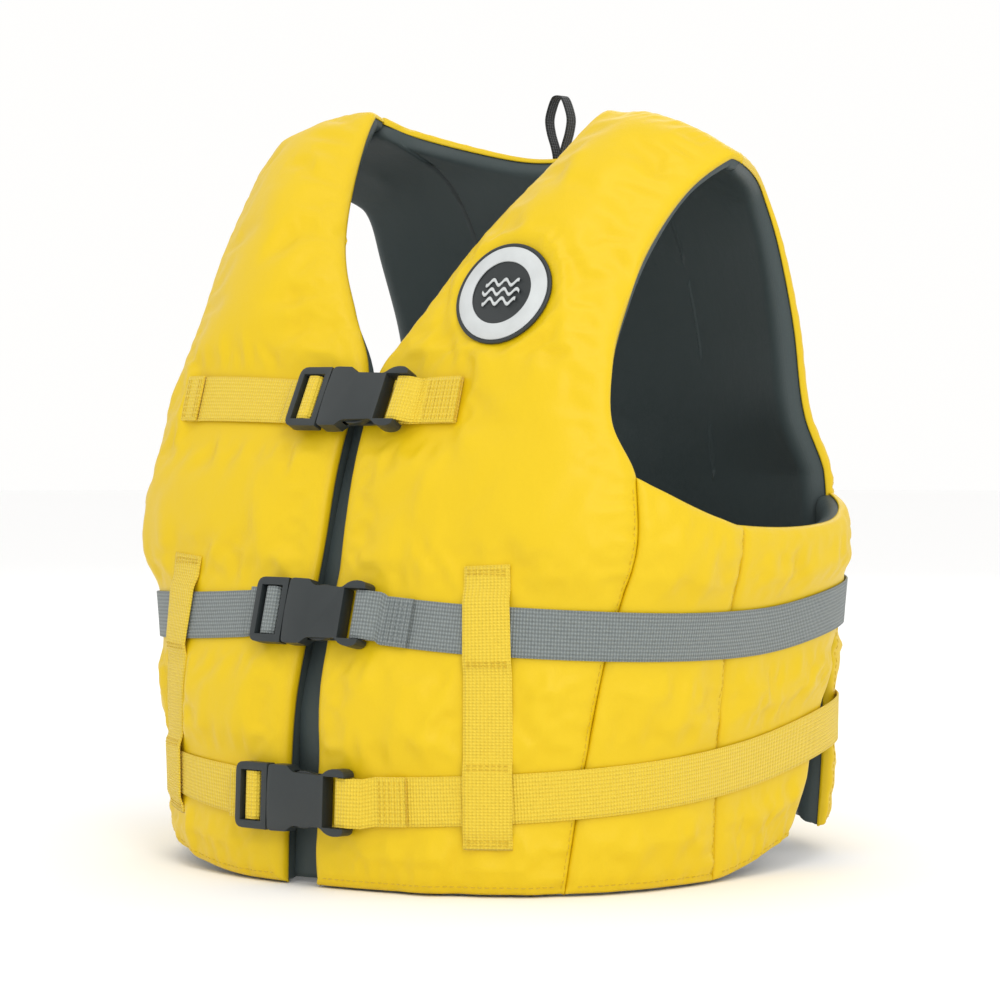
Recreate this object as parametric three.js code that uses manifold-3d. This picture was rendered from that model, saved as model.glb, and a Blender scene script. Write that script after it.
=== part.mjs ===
// Foam buoyancy vest with three belts and side release buckles.
// Millimetres. The vest stands on its hem at z = 0, its front faces -Y and the wearer's left is +X.
import * as THREE from "three";
import { mergeVertices } from "three/addons/utils/BufferGeometryUtils.js";
import Module from "manifold-3d";

const wasm = await Module();
wasm.setup();

// ---- driving sizes ----
const halfWidth = 223; // widest half width, at the ribs
const frontReach = 192; // front hem ahead of the vertical axis
const backReach = 205; // back hem behind the axis
const shoulderHeight = 484; // top of the shoulder beside the neck
const bodyFoam = 22; // front and back pads, with their fabric
const sideFoam = 18;
const shoulderFoam = 13;
const coverCloth = 1.2;
const liningCloth = 1.0;
const clothGap = 0.3; // between the layers of one panel
const foamPlay = 1.5; // round the edge of each pad, inside its lining
const seamGap = 0.25; // each panel stops this far short of its seam line
const frontGap = 6; // half of the front opening
const webbingWidth = 30;
const webbingThick = 1.4;
const restGap = 1.2; // webbing and badge above the covers, which are faceted
const layerGap = 0.4; // between two layers of webbing
const strapLift = 0.6; // chest straps above that, where they bridge the hollow of the chest
const buckleSide = 5.5; // buckle beyond the webbing, each side
const buckleThick = 10;
const slideGap = 0.4; // between the moving pieces of a buckle
const chestHeight = 295; // middle of the chest strap
const keeperBottom = 59 - webbingWidth; // clears the lower belt
const keeperTop = 169 + webbingWidth; // clears the waist belt at the back
const keeperAngle = 38; // degrees round from the front, and from the back for the rear pair
const badgeRadius = 33;
const loopHeight = 47; // hanging loop above its seat
const loopWidth = 10;
const loopThick = 1.2;
const neckHalfWidth = 98.6;
const neckBack = 73.5; // back edge of the neck hole behind the axis
const shoulderSeam = 12; // shoulder seam behind the axis

// The pattern below is drawn for one base size and graded to the driving sizes.
const base = { halfWidth: 223, frontReach: 192, backReach: 205, height: 484 };
const grade = (x, y, z) =>
  new THREE.Vector3(
    (x * halfWidth) / base.halfWidth,
    y * (y < 0 ? frontReach / base.frontReach : backReach / base.backReach),
    (z * shoulderHeight) / base.height,
  );
const radians = THREE.MathUtils.degToRad;

// Smooth curve through rows of [place, value, value, ...] at any place.
function along(rows, place) {
  const last = rows.length - 2;
  let k = 0;
  while (k < last && place > rows[k + 1][0]) k++;
  const [a, b] = [rows[k], rows[k + 1]];
  const before = rows[Math.max(k - 1, 0)];
  const after = rows[Math.min(k + 2, rows.length - 1)];
  const span = b[0] - a[0];
  const f = (place - a[0]) / span;
  return a.slice(1).map((value, i) => {
    const j = i + 1;
    const leave = ((b[j] - before[j]) / (b[0] - before[0])) * span;
    const arrive = ((after[j] - a[j]) / (after[0] - a[0])) * span;
    return (
      value * (2 * f ** 3 - 3 * f ** 2 + 1) +
      leave * (f ** 3 - 2 * f ** 2 + f) +
      b[j] * (3 * f ** 2 - 2 * f ** 3) +
      arrive * (f ** 3 - f ** 2)
    );
  });
}

// ---- the body form: [height, half width, front and back reach, front and back squareness] ----
const form = [
  [-10, 200, 192, 203, 2.35, 3.0],
  [0, 200, 192, 203, 2.35, 3.0],
  [58, 202, 190, 205, 2.4, 3.1],
  [114, 205, 186, 203, 2.55, 3.1],
  [171, 214, 172, 192, 2.8, 3.2],
  [212, 223, 161, 176, 3.2, 3.4],
  [253, 221, 151, 168, 3.3, 3.7],
  [292, 217, 137, 163, 3.3, 3.6],
  [330, 215, 117, 155, 3.3, 3.4],
];
// Point of the form at an angle round from the front, towards the wearer's left.
function ring(angle, level) {
  const [a, front, back, frontSquare, backSquare] = along(form, level);
  const s = Math.sin(radians(angle));
  const c = Math.cos(radians(angle));
  const [b, n] = c > 0 ? [front, frontSquare] : [back, backSquare];
  const r = (Math.abs(s / a) ** n + Math.abs(c / b) ** n) ** (-1 / n);
  return grade(r * s, -r * c, level);
}
function normalOf(point, u, v, du, dv, uLow, uHigh, vLow, vHigh) {
  const across = point(Math.min(u + du, uHigh), v).sub(point(Math.max(u - du, uLow), v));
  const up = point(u, Math.min(v + dv, vHigh)).sub(point(u, Math.max(v - dv, vLow)));
  return across.cross(up).normalize();
}
const ringNormal = (angle, level) => normalOf(ring, angle, level, 1, 3, -400, 400, -10, 330);

// ---- panel surfaces: point(s, t), s across from the front edge, t the base height ----
const frontEdge = [[-10, 51], [0, 51], [142, 57.3], [203, 61], [253, 61.5], [292, 62]];
const seamTwoAngle = 82.5;
const rearEdge = [[0, 105.5], [19, 107], [100, 117], [176, 125.6], [222, 128.1], [250, 128.2]];
const backEdgeAngle = 128.5;
const armpit = 253; // level where the front armhole starts
const backHem = 17;

function frontRing(s, level) {
  const start = THREE.MathUtils.radToDeg(Math.atan2(frontGap, along(form, level)[1]));
  const [end] = along(frontEdge, level);
  return ring(start + (end - start) * s, level);
}
// Strap rows: [level, neck edge, armhole edge, crown height, crown place from the neck edge]
const strapRows = [
  [285, [frontGap, -140, 285], [183, -112, 285], 11, 0.66],
  [316, [frontGap, -122, 316], [177, -105, 318], 13, 0.62],
  [357, [30, -103, 357], [173, -92, 352], 17, 0.48],
  [399, [55, -79, 399], [175, -70, 392], 17, 0.4],
  [444, [79, -42, 444], [182, -35, 430], 14, 0.45],
  [484, [95, -5, 483], [194, -3, 452], 6, 0.5],
  [498, [99, shoulderSeam, 482], [194, shoulderSeam, 451], 6, 0.5],
];
const seamLevel = strapRows[strapRows.length - 1][0];
function strapPoint([level, inner, outer, crown, place], s) {
  const lean = (THREE.MathUtils.smoothstep(level, 400, seamLevel) * Math.PI) / 2;
  const lift = new THREE.Vector3(0.1, -Math.cos(lean), Math.sin(lean) + 0.25).normalize();
  const inside = THREE.MathUtils.clamp(s, 0, 1);
  const rise = (inside / place) ** (2.4 * place);
  const fall = ((1 - inside) / (1 - place)) ** (2.4 * (1 - place));
  return grade(...inner).lerp(grade(...outer), s).addScaledVector(lift, crown * rise * fall);
}
const vectorOf = (v) => [v.x, v.y, v.z];
function frontPoint(s, level) {
  if (level <= armpit) return frontRing(s, level);
  const rows = [
    [213, ...vectorOf(frontRing(s, 213))],
    [armpit, ...vectorOf(frontRing(s, armpit))],
    ...strapRows.map((row) => [row[0], ...vectorOf(strapPoint(row, s))]),
  ];
  return new THREE.Vector3(...along(rows, level));
}
// Back rows above the armhole: [level, middle, armhole edge]
const backRows = [
  [292, [0, 163, 292], [172, 128, 292]],
  [348, [0, 149, 350], [170, 118, 348]],
  [400, [0, 124, 402], [170, 97, 400]],
  [440, [0, 95, 440], [169, 77, 434]],
  [466, [0, 67, 466], [178, 52, 445]],
];
// The back meets both straps along the shoulder seam and is level across the neck hole there.
function seamPoint(s) {
  const seam = strapRows[strapRows.length - 1];
  const [inner, outer] = [seam[1][0], seam[2][0]];
  const x = outer * s;
  const place = strapPoint(seam, Math.max((Math.abs(x) - inner) / (outer - inner), 0));
  place.x = grade(x, 0, 0).x;
  return place;
}
function backPoint(s, level) {
  const angle = 180 - (180 - backEdgeAngle) * s;
  if (level <= armpit) return ring(angle, level);
  const rows = [
    [213, ...vectorOf(ring(angle, 213))],
    [armpit, ...vectorOf(ring(angle, armpit))],
    ...backRows.map(([l, middle, edge]) => {
      const bend = Math.abs(s) ** 2.6;
      const y = middle[1] + (edge[1] - middle[1]) * bend;
      return [l, ...vectorOf(grade(edge[0] * s, y, middle[2] + (edge[2] - middle[2]) * bend))];
    }),
    [seamLevel, ...vectorOf(seamPoint(s))],
  ];
  return new THREE.Vector3(...along(rows, level));
}
const armholeTop = [[61.5, 253], [72, 234], [82.5, 222], [110, 221], [128.5, 238]];
const padTop = (angle) => along(armholeTop, angle)[0];
function padSurface(fromAngle, toAngle, hem) {
  return (s, share) => {
    const [start, end] = [fromAngle(armpit), toAngle(armpit)];
    const top = padTop(start + (end - start) * s);
    const low = hem(s);
    const level = low + (top - low) * share;
    const angle = fromAngle(level);
    return ring(angle + (toAngle(level) - angle) * s, level);
  };
}
const seamOne = (level) => along(frontEdge, level)[0];
const seamTwo = () => seamTwoAngle;
const rearSeam = (level) => along(rearEdge, level)[0];
const below = -6; // hems start under the floor and are cut flat at z = 0

// ---- closed slabs ----
function closed(points, triangles) {
  let volume = 0;
  const [a, b, c] = [0, 1, 2].map(() => new THREE.Vector3());
  for (const [i, j, k] of triangles)
    volume += a.copy(points[i]).dot(b.copy(points[j]).cross(c.copy(points[k])));
  const wanted = volume < 0 ? triangles.map(([i, j, k]) => [i, k, j]) : triangles;
  const geometry = new THREE.BufferGeometry();
  const flat = new Float32Array(points.flatMap(vectorOf));
  geometry.setAttribute("position", new THREE.BufferAttribute(flat, 3));
  geometry.setIndex(wanted.flat());
  return geometry;
}
// A grid of surface points and normals, taken once and shared by all layers of a panel.
function surfaceGrid(point, columns, levels) {
  const [low, high] = [levels[0], levels[levels.length - 1]];
  const step = (high - low) / 200;
  return columns.map((s) =>
    levels.map((t) => {
      const out = normalOf(point, s, t, 0.01, step, -0.02, 1.02, low, high);
      if (t === seamLevel) out.setY(0).normalize(); // both sides of the shoulder seam match
      return { place: point(s, t), out };
    }),
  );
}
// Moves a grid's border lines inwards along its own cells.
function inset(grid, [left, right, bottom, top]) {
  const copy = grid.map((column) =>
    column.map(({ place, out }) => ({ place: place.clone(), out: out.clone() })),
  );
  const pull = (node, towards, distance) => {
    const f = distance / node.place.distanceTo(towards.place);
    node.place.lerp(towards.place, f);
    node.out.lerp(towards.out, f).normalize();
  };
  const [across, up] = [copy.length - 1, copy[0].length - 1];
  for (let j = 0; j <= up; j++) {
    pull(copy[0][j], copy[1][j], left);
    pull(copy[across][j], copy[across - 1][j], right);
  }
  for (let i = 0; i <= across; i++) {
    pull(copy[i][0], copy[i][1], bottom);
    pull(copy[i][up], copy[i][up - 1], top);
  }
  return copy;
}
// Solid between two depths under a grid; a depth is a number or a function of the row.
function slab(grid, outer, inner) {
  const [across, up] = [grid.length, grid[0].length];
  const depth = (d, j) => (typeof d === "function" ? d(j) : d);
  const side = (d) =>
    grid.flatMap((column) =>
      column.map(({ place, out }, j) => place.clone().addScaledVector(out, -depth(d, j))),
    );
  const points = [...side(outer), ...side(inner)];
  const at = (i, j, layer) => layer * across * up + i * up + j;
  const triangles = [];
  const quad = (a, b, c, d) => triangles.push([a, b, c], [a, c, d]);
  for (let i = 0; i < across - 1; i++)
    for (let j = 0; j < up - 1; j++) {
      quad(at(i, j, 0), at(i + 1, j, 0), at(i + 1, j + 1, 0), at(i, j + 1, 0));
      triangles.push([at(i, j, 1), at(i + 1, j + 1, 1), at(i + 1, j, 1)]);
      triangles.push([at(i, j, 1), at(i, j + 1, 1), at(i + 1, j + 1, 1)]);
    }
  for (let i = 0; i < across - 1; i++) {
    quad(at(i, 0, 1), at(i + 1, 0, 1), at(i + 1, 0, 0), at(i, 0, 0));
    quad(at(i, up - 1, 0), at(i + 1, up - 1, 0), at(i + 1, up - 1, 1), at(i, up - 1, 1));
  }
  for (let j = 0; j < up - 1; j++) {
    quad(at(0, j, 0), at(0, j + 1, 0), at(0, j + 1, 1), at(0, j, 1));
    const e = across - 1;
    quad(at(e, j, 1), at(e, j + 1, 1), at(e, j + 1, 0), at(e, j, 0));
  }
  return closed(points, triangles);
}

// ---- booleans ----
function toSolid(geometry) {
  const bare = geometry.index ? geometry.toNonIndexed() : geometry.clone();
  bare.deleteAttribute("normal");
  bare.deleteAttribute("uv");
  const merged = mergeVertices(bare, 1e-4);
  return new wasm.Manifold(
    new wasm.Mesh({
      numProp: 3,
      vertProperties: merged.attributes.position.array,
      triVerts: new Uint32Array(merged.index.array),
    }),
  );
}
function toGeometry(solid) {
  const mesh = solid.getMesh();
  const geometry = new THREE.BufferGeometry();
  geometry.setAttribute("position", new THREE.BufferAttribute(mesh.vertProperties, 3));
  geometry.setIndex(new THREE.BufferAttribute(mesh.triVerts, 1));
  return geometry;
}
function box(low, high) {
  const sizes = high.map((v, i) => v - low[i]);
  const middle = high.map((v, i) => (v + low[i]) / 2);
  return new THREE.BoxGeometry(...sizes).translate(...middle);
}
const cutBelow = (solid, level) =>
  solid.subtract(toSolid(box([-400, -400, -100], [400, 400, level])));

// ---- materials ----
function finish(color, roughness, metalness = 0) {
  return new THREE.MeshStandardMaterial({ color, roughness, metalness });
}
const yellowNylon = finish(0xefcf3a, 0.5);
const darkNylon = finish(0x3d4447, 0.75);
const foam = finish(0xdcdcd4, 0.9);
const yellowWebbing = finish(0xf0cf45, 0.7);
const greyWebbing = finish(0x85898d, 0.7);
const blackWebbing = finish(0x1e2022, 0.75);
const darkPlastic = finish(0x3a4044, 0.45);
const badgeRubber = finish(0x2a2d30, 0.6);

const vest = new THREE.Group();
function add(name, geometry, material, parent = vest) {
  const mesh = new THREE.Mesh(geometry, material);
  mesh.name = name;
  parent.add(mesh);
  return mesh;
}
function mirrored(geometry) {
  const copy = geometry.clone().applyMatrix4(new THREE.Matrix4().makeScale(-1, 1, 1));
  const index = copy.index.array;
  for (let i = 0; i < index.length; i += 3) [index[i], index[i + 1]] = [index[i + 1], index[i]];
  return copy;
}

// ---- one panel: outer cover, foam, and a lining that wraps the foam's edges ----
function panelLayers(grid, thickness, cutHem, neck) {
  const lip = coverCloth + clothGap;
  const wall = seamGap + liningCloth;
  const foamDepth = liningCloth + 2 * clothGap;
  const edges = (d) => [d, d, d, d];
  const parts = {
    cover: slab(inset(grid, edges(seamGap)), 0, coverCloth),
    tray: slab(inset(grid, edges(seamGap)), lip, thickness),
    hollow: slab(inset(grid, edges(wall)), -2, (j) => thickness(j) - liningCloth),
    foam: slab(inset(grid, edges(wall + foamPlay)), lip + clothGap, (j) => thickness(j) - foamDepth),
  };
  const solids = Object.fromEntries(Object.entries(parts).map(([k, g]) => [k, toSolid(g)]));
  if (cutHem) {
    solids.cover = cutBelow(solids.cover, clothGap);
    solids.tray = cutBelow(solids.tray, 0);
    solids.hollow = cutBelow(solids.hollow, liningCloth);
    solids.foam = cutBelow(solids.foam, liningCloth + clothGap);
  }
  if (neck) {
    solids.cover = solids.cover.subtract(neck(0));
    solids.tray = solids.tray.subtract(neck(0));
    solids.hollow = solids.hollow.subtract(neck(liningCloth));
    solids.foam = solids.foam.subtract(neck(liningCloth + clothGap));
  }
  return {
    cover: toGeometry(solids.cover),
    foam: toGeometry(solids.foam),
    lining: toGeometry(solids.tray.subtract(solids.hollow)),
  };
}
const panelMaterials = { cover: yellowNylon, foam, lining: darkNylon };
function addPanel(name, layers) {
  for (const layer of Object.keys(layers))
    add(name + "_" + layer, layers[layer], panelMaterials[layer]);
}
const spread = (low, high, cells) =>
  Array.from({ length: cells + 1 }, (_, i) => low + ((high - low) * i) / cells);
const lowerCells = 6;
const taper = (levels, full) => (j) =>
  THREE.MathUtils.mapLinear(
    THREE.MathUtils.smoothstep(levels[j], 330, 490), 0, 1, full, shoulderFoam);

function addFronts() {
  const levels = [...spread(below, armpit, lowerCells), ...spread(armpit, seamLevel, 7).slice(1)];
  const grid = surfaceGrid(frontPoint, spread(0, 1, 6), levels);
  const layers = panelLayers(grid, taper(levels, bodyFoam), true);
  addPanel("front_left", layers);
  for (const layer in layers) layers[layer] = mirrored(layers[layer]);
  addPanel("front_right", layers);
}
function addSidePads() {
  const flat = () => below;
  const rising = (s) => 1 + 18 * Math.max(s, 0) ** 1.5;
  const pads = [
    ["side_front", padSurface(seamOne, seamTwo, flat), true],
    ["side_rear", padSurface(seamTwo, rearSeam, rising), false],
  ];
  for (const [name, surface, cutHem] of pads) {
    const grid = surfaceGrid(surface, spread(0, 1, 5), spread(0, 1, lowerCells));
    const layers = panelLayers(grid, () => sideFoam, cutHem);
    addPanel(name + "_left", layers);
    for (const layer in layers) layers[layer] = mirrored(layers[layer]);
    addPanel(name + "_right", layers);
  }
}
// The neck hole behind the shoulder seam, as an upright cutter grown by a margin.
function neckCutter(margin) {
  const across = grade(neckHalfWidth, 0, 0).x + margin;
  const depth = grade(0, neckBack, 0).y - shoulderSeam + margin;
  const outline = new THREE.Shape();
  outline.moveTo(across, -60);
  outline.lineTo(across, shoulderSeam);
  outline.absellipse(0, shoulderSeam, across, depth, 0, Math.PI, false);
  outline.lineTo(-across, -60);
  const prism = new THREE.ExtrudeGeometry(outline, {
    depth: 500, bevelEnabled: false, curveSegments: 10 });
  return toSolid(prism.translate(0, 0, 250));
}
function addBack() {
  const levels = [...spread(backHem, armpit, lowerCells), ...spread(armpit, seamLevel, 8).slice(1)];
  const grid = surfaceGrid((s, t) => backPoint(1 - 2 * s, t), spread(0, 1, 12), levels);
  addPanel("back", panelLayers(grid, taper(levels, bodyFoam), false, neckCutter));
  return grid;
}

// ---- webbing ----
// A flat band through stations of centre, thickness direction and width direction.
function ribbon(stations, width = webbingWidth, thick = webbingThick) {
  const points = stations.flatMap(({ place, out, across }) =>
    [[1, 1], [1, -1], [-1, -1], [-1, 1]].map(([n, w]) =>
      place.clone().addScaledVector(out, (n * thick) / 2).addScaledVector(across, (w * width) / 2)),
  );
  const triangles = [[0, 1, 2], [0, 2, 3]];
  const end = points.length - 4;
  triangles.push([end, end + 2, end + 1], [end, end + 3, end + 2]);
  for (let k = 0; k < end; k += 4)
    for (let e = 0; e < 4; e++) {
      const f = (e + 1) % 4;
      triangles.push([k + e, k + 4 + e, k + 4 + f], [k + e, k + 4 + f, k + f]);
    }
  return closed(points, triangles);
}
// The flat frame of a buckle that lies over the front opening at a height, just clear of the panels.
function buckleFrame(level) {
  const alongX = new THREE.Vector3(1, 0, 0);
  const [middle, reach] = [0.14, 0.45]; // shares of a front panel under the buckle and its travel
  const up = frontPoint(middle, level + 12).sub(frontPoint(middle, level - 12)).setX(0).normalize();
  const out = alongX.clone().cross(up);
  const origin = frontPoint(0, level).setX(0);
  const heights = spread(0, reach, 6).flatMap((s) =>
    spread(-half, half, 4).map((w) => frontPoint(s, level + w).sub(origin).dot(out)),
  );
  origin.addScaledVector(out, Math.max(...heights));
  const at = (x, h) => origin.clone().addScaledVector(alongX, x).addScaledVector(out, h);
  return { alongX, out, up, origin, at };
}
// Band stations in a buckle's frame, through points of [x, height over the panel].
function frameStations(frame, route) {
  return route.map(([x, h], i) => {
    const [a, b] = [route[Math.max(i - 1, 0)], route[Math.min(i + 1, route.length - 1)]];
    const run = new THREE.Vector2(b[0] - a[0], b[1] - a[1]).normalize();
    const out = frame.out.clone().multiplyScalar(run.x).addScaledVector(frame.alongX, -run.y);
    return { place: frame.at(x, h), out, across: frame.up };
  });
}
// Band stations round the body at a height over the covers.
function ringStations(levelAt, from, to, h, step = 3) {
  const count = Math.max(Math.round(Math.abs(to - from) / step), 1);
  return spread(from, to, count).map((angle) => {
    const level = levelAt(angle);
    const out = ringNormal(angle, level);
    const run = ring(angle + 1, levelAt(angle + 1)).sub(ring(angle - 1, levelAt(angle - 1)));
    const across = out.clone().cross(run).normalize();
    return { place: ring(angle, level).addScaledVector(out, h), out, across };
  });
}
const half = webbingWidth / 2 + buckleSide;
const lowLayer = restGap + webbingThick / 2;
const highLayer = lowLayer + webbingThick + layerGap;
const barLow = 4.2; // socket bar above the panel
const barThick = 3.2;
const slotStart = 29.5;
const barStart = 38.5;
const barWidth = 4;
const under = barLow - slideGap - webbingThick / 2;
const over = barLow + barThick + slideGap + webbingThick / 2;
const doubleEnd = 24; // degrees round where the sewn down double layer stops
// Webbing round the socket's bar: from the double layer's end, over the bar and back under it.
function socketTurn(frame) {
  const turn = barStart - slideGap - webbingThick / 2;
  return frameStations(frame, [
    [54, highLayer + 0.6], [50, over - 2.2], [46, over - 0.4], [barStart + 2.2, over],
    [turn + 0.6, over - 0.2], [turn - 0.1, over - 1.1], [turn - 0.1, under + 1.1],
    [turn + 0.6, under + 0.2], [barStart + 2.2, under], [46, under], [50, under - 0.7],
    [54, lowLayer + 0.3],
  ]);
}
const insertEnd = -20; // belt end under the insert
function beltStations(levelAt, startAngle, endAngle) {
  const frame = buckleFrame(levelAt(0));
  const outer = ringStations(levelAt, startAngle, 18, highLayer);
  const bottom = ringStations(levelAt, 18, endAngle, lowLayer);
  const tail = frameStations(frame, [[-40, lowLayer], [insertEnd, lowLayer]]);
  return { frame, outer, bottom, tail };
}
function flipStations(stations) {
  return stations.map(({ place, out, across }) => ({ place, out: out.clone().negate(), across }));
}
function addBelt(name, levelAt, material) {
  const { outer, bottom, tail, frame } = beltStations(levelAt, doubleEnd, 342);
  const turn = socketTurn(frame);
  add(name, ribbon([...flipStations(outer), ...turn, ...bottom, ...tail]), material);
}
function addChestStraps() {
  const frame = buckleFrame(chestHeight);
  const left = [
    ...flipStations(strapStations(27, 18, highLayer + strapLift)),
    ...socketTurn(frame),
    ...strapStations(18, 27, lowLayer + strapLift),
  ];
  add("chest_strap_left", ribbon(left), yellowWebbing);
  const right = [
    ...mirrorStations(strapStations(52, 18, lowLayer + strapLift)),
    ...frameStations(frame, [[-40, lowLayer], [insertEnd, lowLayer]]),
  ];
  add("chest_strap_right", ribbon(right), yellowWebbing);
}
// Stations on the strap part of the front panel, by angle as on the form.
function strapStations(from, to, h) {
  const count = Math.max(Math.round(Math.abs(to - from) / 4), 1);
  const [edge] = along(frontEdge, chestHeight);
  return spread(from, to, count).map((angle) => {
    const s = angle / edge;
    const out = normalOf(frontPoint, s, chestHeight, 0.02, 4, -0.1, 1.1, 0, 490);
    const run = frontPoint(s + 0.02, chestHeight).sub(frontPoint(s - 0.02, chestHeight));
    const across = out.clone().cross(run).normalize();
    return { place: frontPoint(s, chestHeight).addScaledVector(out, h), out, across };
  });
}
function mirrorStations(stations) {
  const turn = (v) => new THREE.Vector3(-v.x, v.y, v.z);
  return stations.map(({ place, out, across }) => ({
    place: turn(place), out: turn(out), across: turn(across) }));
}

// ---- keepers: upright strips sewn over both belts ----
const waistLevels = [[-60, 158], [0, 166], [38, 160], [90, 155], [125, 168], [180, 172]];
const lowerLevels = [[-60, 58], [0, 54], [38, 59], [90, 72], [125, 89], [180, 95]];
const folded = (angle) => Math.abs(((angle + 180) % 360) - 180);
const waistAt = (angle) => along(waistLevels, folded(angle))[0];
const lowerAt = (angle) => along(lowerLevels, folded(angle))[0];
function addKeeper(name, angle) {
  const spreadAngle = THREE.MathUtils.radToDeg(webbingWidth / 2 / ring(angle, 100).setZ(0).length());
  const [flat, raised] = [restGap, restGap + webbingThick + 3 * layerGap];
  const [clear, ramp] = [webbingWidth / 2 + 2, webbingWidth / 2 + 12];
  const overBelt = (level) => [
    [level - ramp, flat], [level - clear, raised], [level, raised], [level + clear, raised],
    [level + ramp, flat],
  ];
  const rows = [
    [keeperBottom, flat], ...overBelt(lowerAt(angle)), ...overBelt(waistAt(angle)), [keeperTop, flat]];
  const grid = spread(angle - spreadAngle, angle + spreadAngle, 4).map((a) =>
    rows.map(([level, lift]) => {
      const out = ringNormal(a, level);
      return { place: ring(a, level).addScaledVector(out, lift), out };
    }),
  );
  add(name, slab(grid, -webbingThick, 0), yellowWebbing);
}

// ---- buckles ----
const bodyLow = restGap; // back of the socket above the panel
const bodyHigh = bodyLow + buckleThick;
const cavityLow = 3.4;
const cavityHigh = 8.6;
function extruded(outline, low, high, segments = 4) {
  const geometry = new THREE.ExtrudeGeometry(outline, {
    depth: high - low, bevelEnabled: false, curveSegments: segments });
  return toSolid(geometry.translate(0, 0, low));
}
const block = (low, high) => toSolid(box(low, high));
const mouth = -15;
const socketEnd = 46;
const earHalf = webbingWidth / 2 + 0.8;
function socketShape() {
  const upper = [
    [[socketEnd + 0.5, half], [socketEnd - 7, half]], [[33, half], [29, half - 3.5]],
    [[27, half - 5.1], [24, half - 4.5]], [[12, half - 4.1], [6, half - 4.1]],
    [[3, half - 3.3], [0, half - 0.3]],
    [[-6, half], [-11, half]], [[mouth, half], [mouth, half - 3]],
  ];
  const shape = new THREE.Shape();
  shape.moveTo(socketEnd, earHalf);
  for (const [bend, end] of upper) shape.quadraticCurveTo(...bend, ...end);
  shape.quadraticCurveTo(mouth - 1.6, 0, mouth, 3 - half);
  for (let i = upper.length - 1; i >= 0; i--) {
    const [x, y] = i > 0 ? upper[i - 1][1] : [socketEnd, earHalf];
    shape.quadraticCurveTo(upper[i][0][0], -upper[i][0][1], x, -y);
  }
  return shape;
}
function socket() {
  const w = earHalf - 0.2;
  return extruded(socketShape(), bodyLow, bodyHigh)
    .subtract(block([mouth - 5, 3.3 - half, cavityLow], [27, half - 3.3, cavityHigh]))
    .subtract(block([slotStart, -w, bodyLow - 1], [barStart, w, bodyHigh + 1]))
    .subtract(block([barStart + barWidth, -w, bodyLow - 1], [60, w, bodyHigh + 1]))
    .subtract(block([barStart - 1, -w, bodyLow - 1], [60, w, barLow]))
    .subtract(block([barStart - 1, -w, barLow + barThick], [60, w, bodyHigh + 1]));
}
const insertStart = -42;
const insertLow = lowLayer + webbingThick / 2 + slideGap;
const baseStart = -21;
const guideHalf = 3.4;
const armLow = cavityLow + slideGap;
const armHigh = cavityHigh - slideGap;
function insert() {
  const shape = new THREE.Shape();
  const right = mouth - 1.6;
  shape.moveTo(right, -half);
  shape.lineTo(right, half);
  shape.lineTo(insertStart + 6, half);
  shape.quadraticCurveTo(insertStart, half, insertStart, half - 6);
  shape.lineTo(insertStart, -(half - 6));
  shape.quadraticCurveTo(insertStart, -half, insertStart + 6, -half);
  const w = earHalf - 0.2;
  return extruded(shape, insertLow, bodyHigh - 0.6)
    .subtract(block([insertStart + 4, -w, 0], [-33, w, 20]))
    .subtract(block([-27.5, -w, 0], [baseStart, w, 20]))
    .subtract(block([insertStart - 1, -w, 0], [-27, w, 5]))
    .subtract(block([-34, -w, 8], [-27, w, 20]))
    .add(block([right - 1, -guideHalf, armLow], [20, guideHalf, armHigh]));
}
function latchArm() {
  const foot = mouth - 1.6 + clothGap;
  const shape = new THREE.Shape();
  shape.moveTo(foot, half - 10.1);
  shape.lineTo(6, half - 10.1);
  shape.lineTo(24, half - 10.9);
  shape.quadraticCurveTo(25.6, half - 8.9, 23, half - 6.5);
  shape.quadraticCurveTo(16, half - 2.1, 9, half - 3.1);
  shape.quadraticCurveTo(4.6, half - 3.7, 4.4, half - 5.5);
  shape.lineTo(foot, half - 6.3);
  return toGeometry(extruded(shape, armLow, armHigh));
}
function insertWebbing(frame) {
  const low = insertLow + webbingThick / 2;
  const top = 8 + slideGap + webbingThick / 2;
  return ribbon(frameStations(frame, [
    [-52, low], [-45, low], [-39.5, low + 0.1], [-36.6, 4.6], [-35.2, 7.2], [-33.4, top - 0.2],
    [-31, top], [-29, top], [-27, top - 0.4], [-25.4, 7.4], [-24.3, 5], [-24, 3.4],
  ]));
}
function addBuckle(name, level, webbing) {
  const frame = buckleFrame(level);
  const group = new THREE.Group();
  group.position.copy(frame.origin);
  group.quaternion.setFromRotationMatrix(
    new THREE.Matrix4().makeBasis(frame.alongX, frame.up, frame.out));
  vest.add(group);
  add(name + "_socket", toGeometry(socket()), darkPlastic, group);
  add(name + "_insert", toGeometry(insert()), darkPlastic, group);
  add(name + "_latch_upper", latchArm(), darkPlastic, group);
  const lower = add(name + "_latch_lower", latchArm(), darkPlastic, group);
  lower.scale.y = -1;
  add(name + "_insert_webbing", insertWebbing(frame), webbing);
}

// ---- badge and hanging loop ----
function addBadge() {
  const [s0, t0] = [0.46, 362];
  const span = frontPoint(0.6, t0).distanceTo(frontPoint(0.3, t0)) / 0.3;
  const rise = frontPoint(s0, t0 + 20).distanceTo(frontPoint(s0, t0 - 20)) / 40;
  const cells = spread(-1, 1, 6);
  const grid = cells.map((u) =>
    cells.map((v) => {
      const x = badgeRadius * u * Math.sqrt(1 - (v * v) / 2);
      const y = badgeRadius * v * Math.sqrt(1 - (u * u) / 2);
      const [s, t] = [s0 + x / span, t0 + y / rise];
      return { place: frontPoint(s, t), out: normalOf(frontPoint, s, t, 0.02, 4, 0, 1, 0, 490) };
    }),
  );
  add("badge", slab(grid, -restGap - 2, -restGap), badgeRubber);
}
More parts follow.
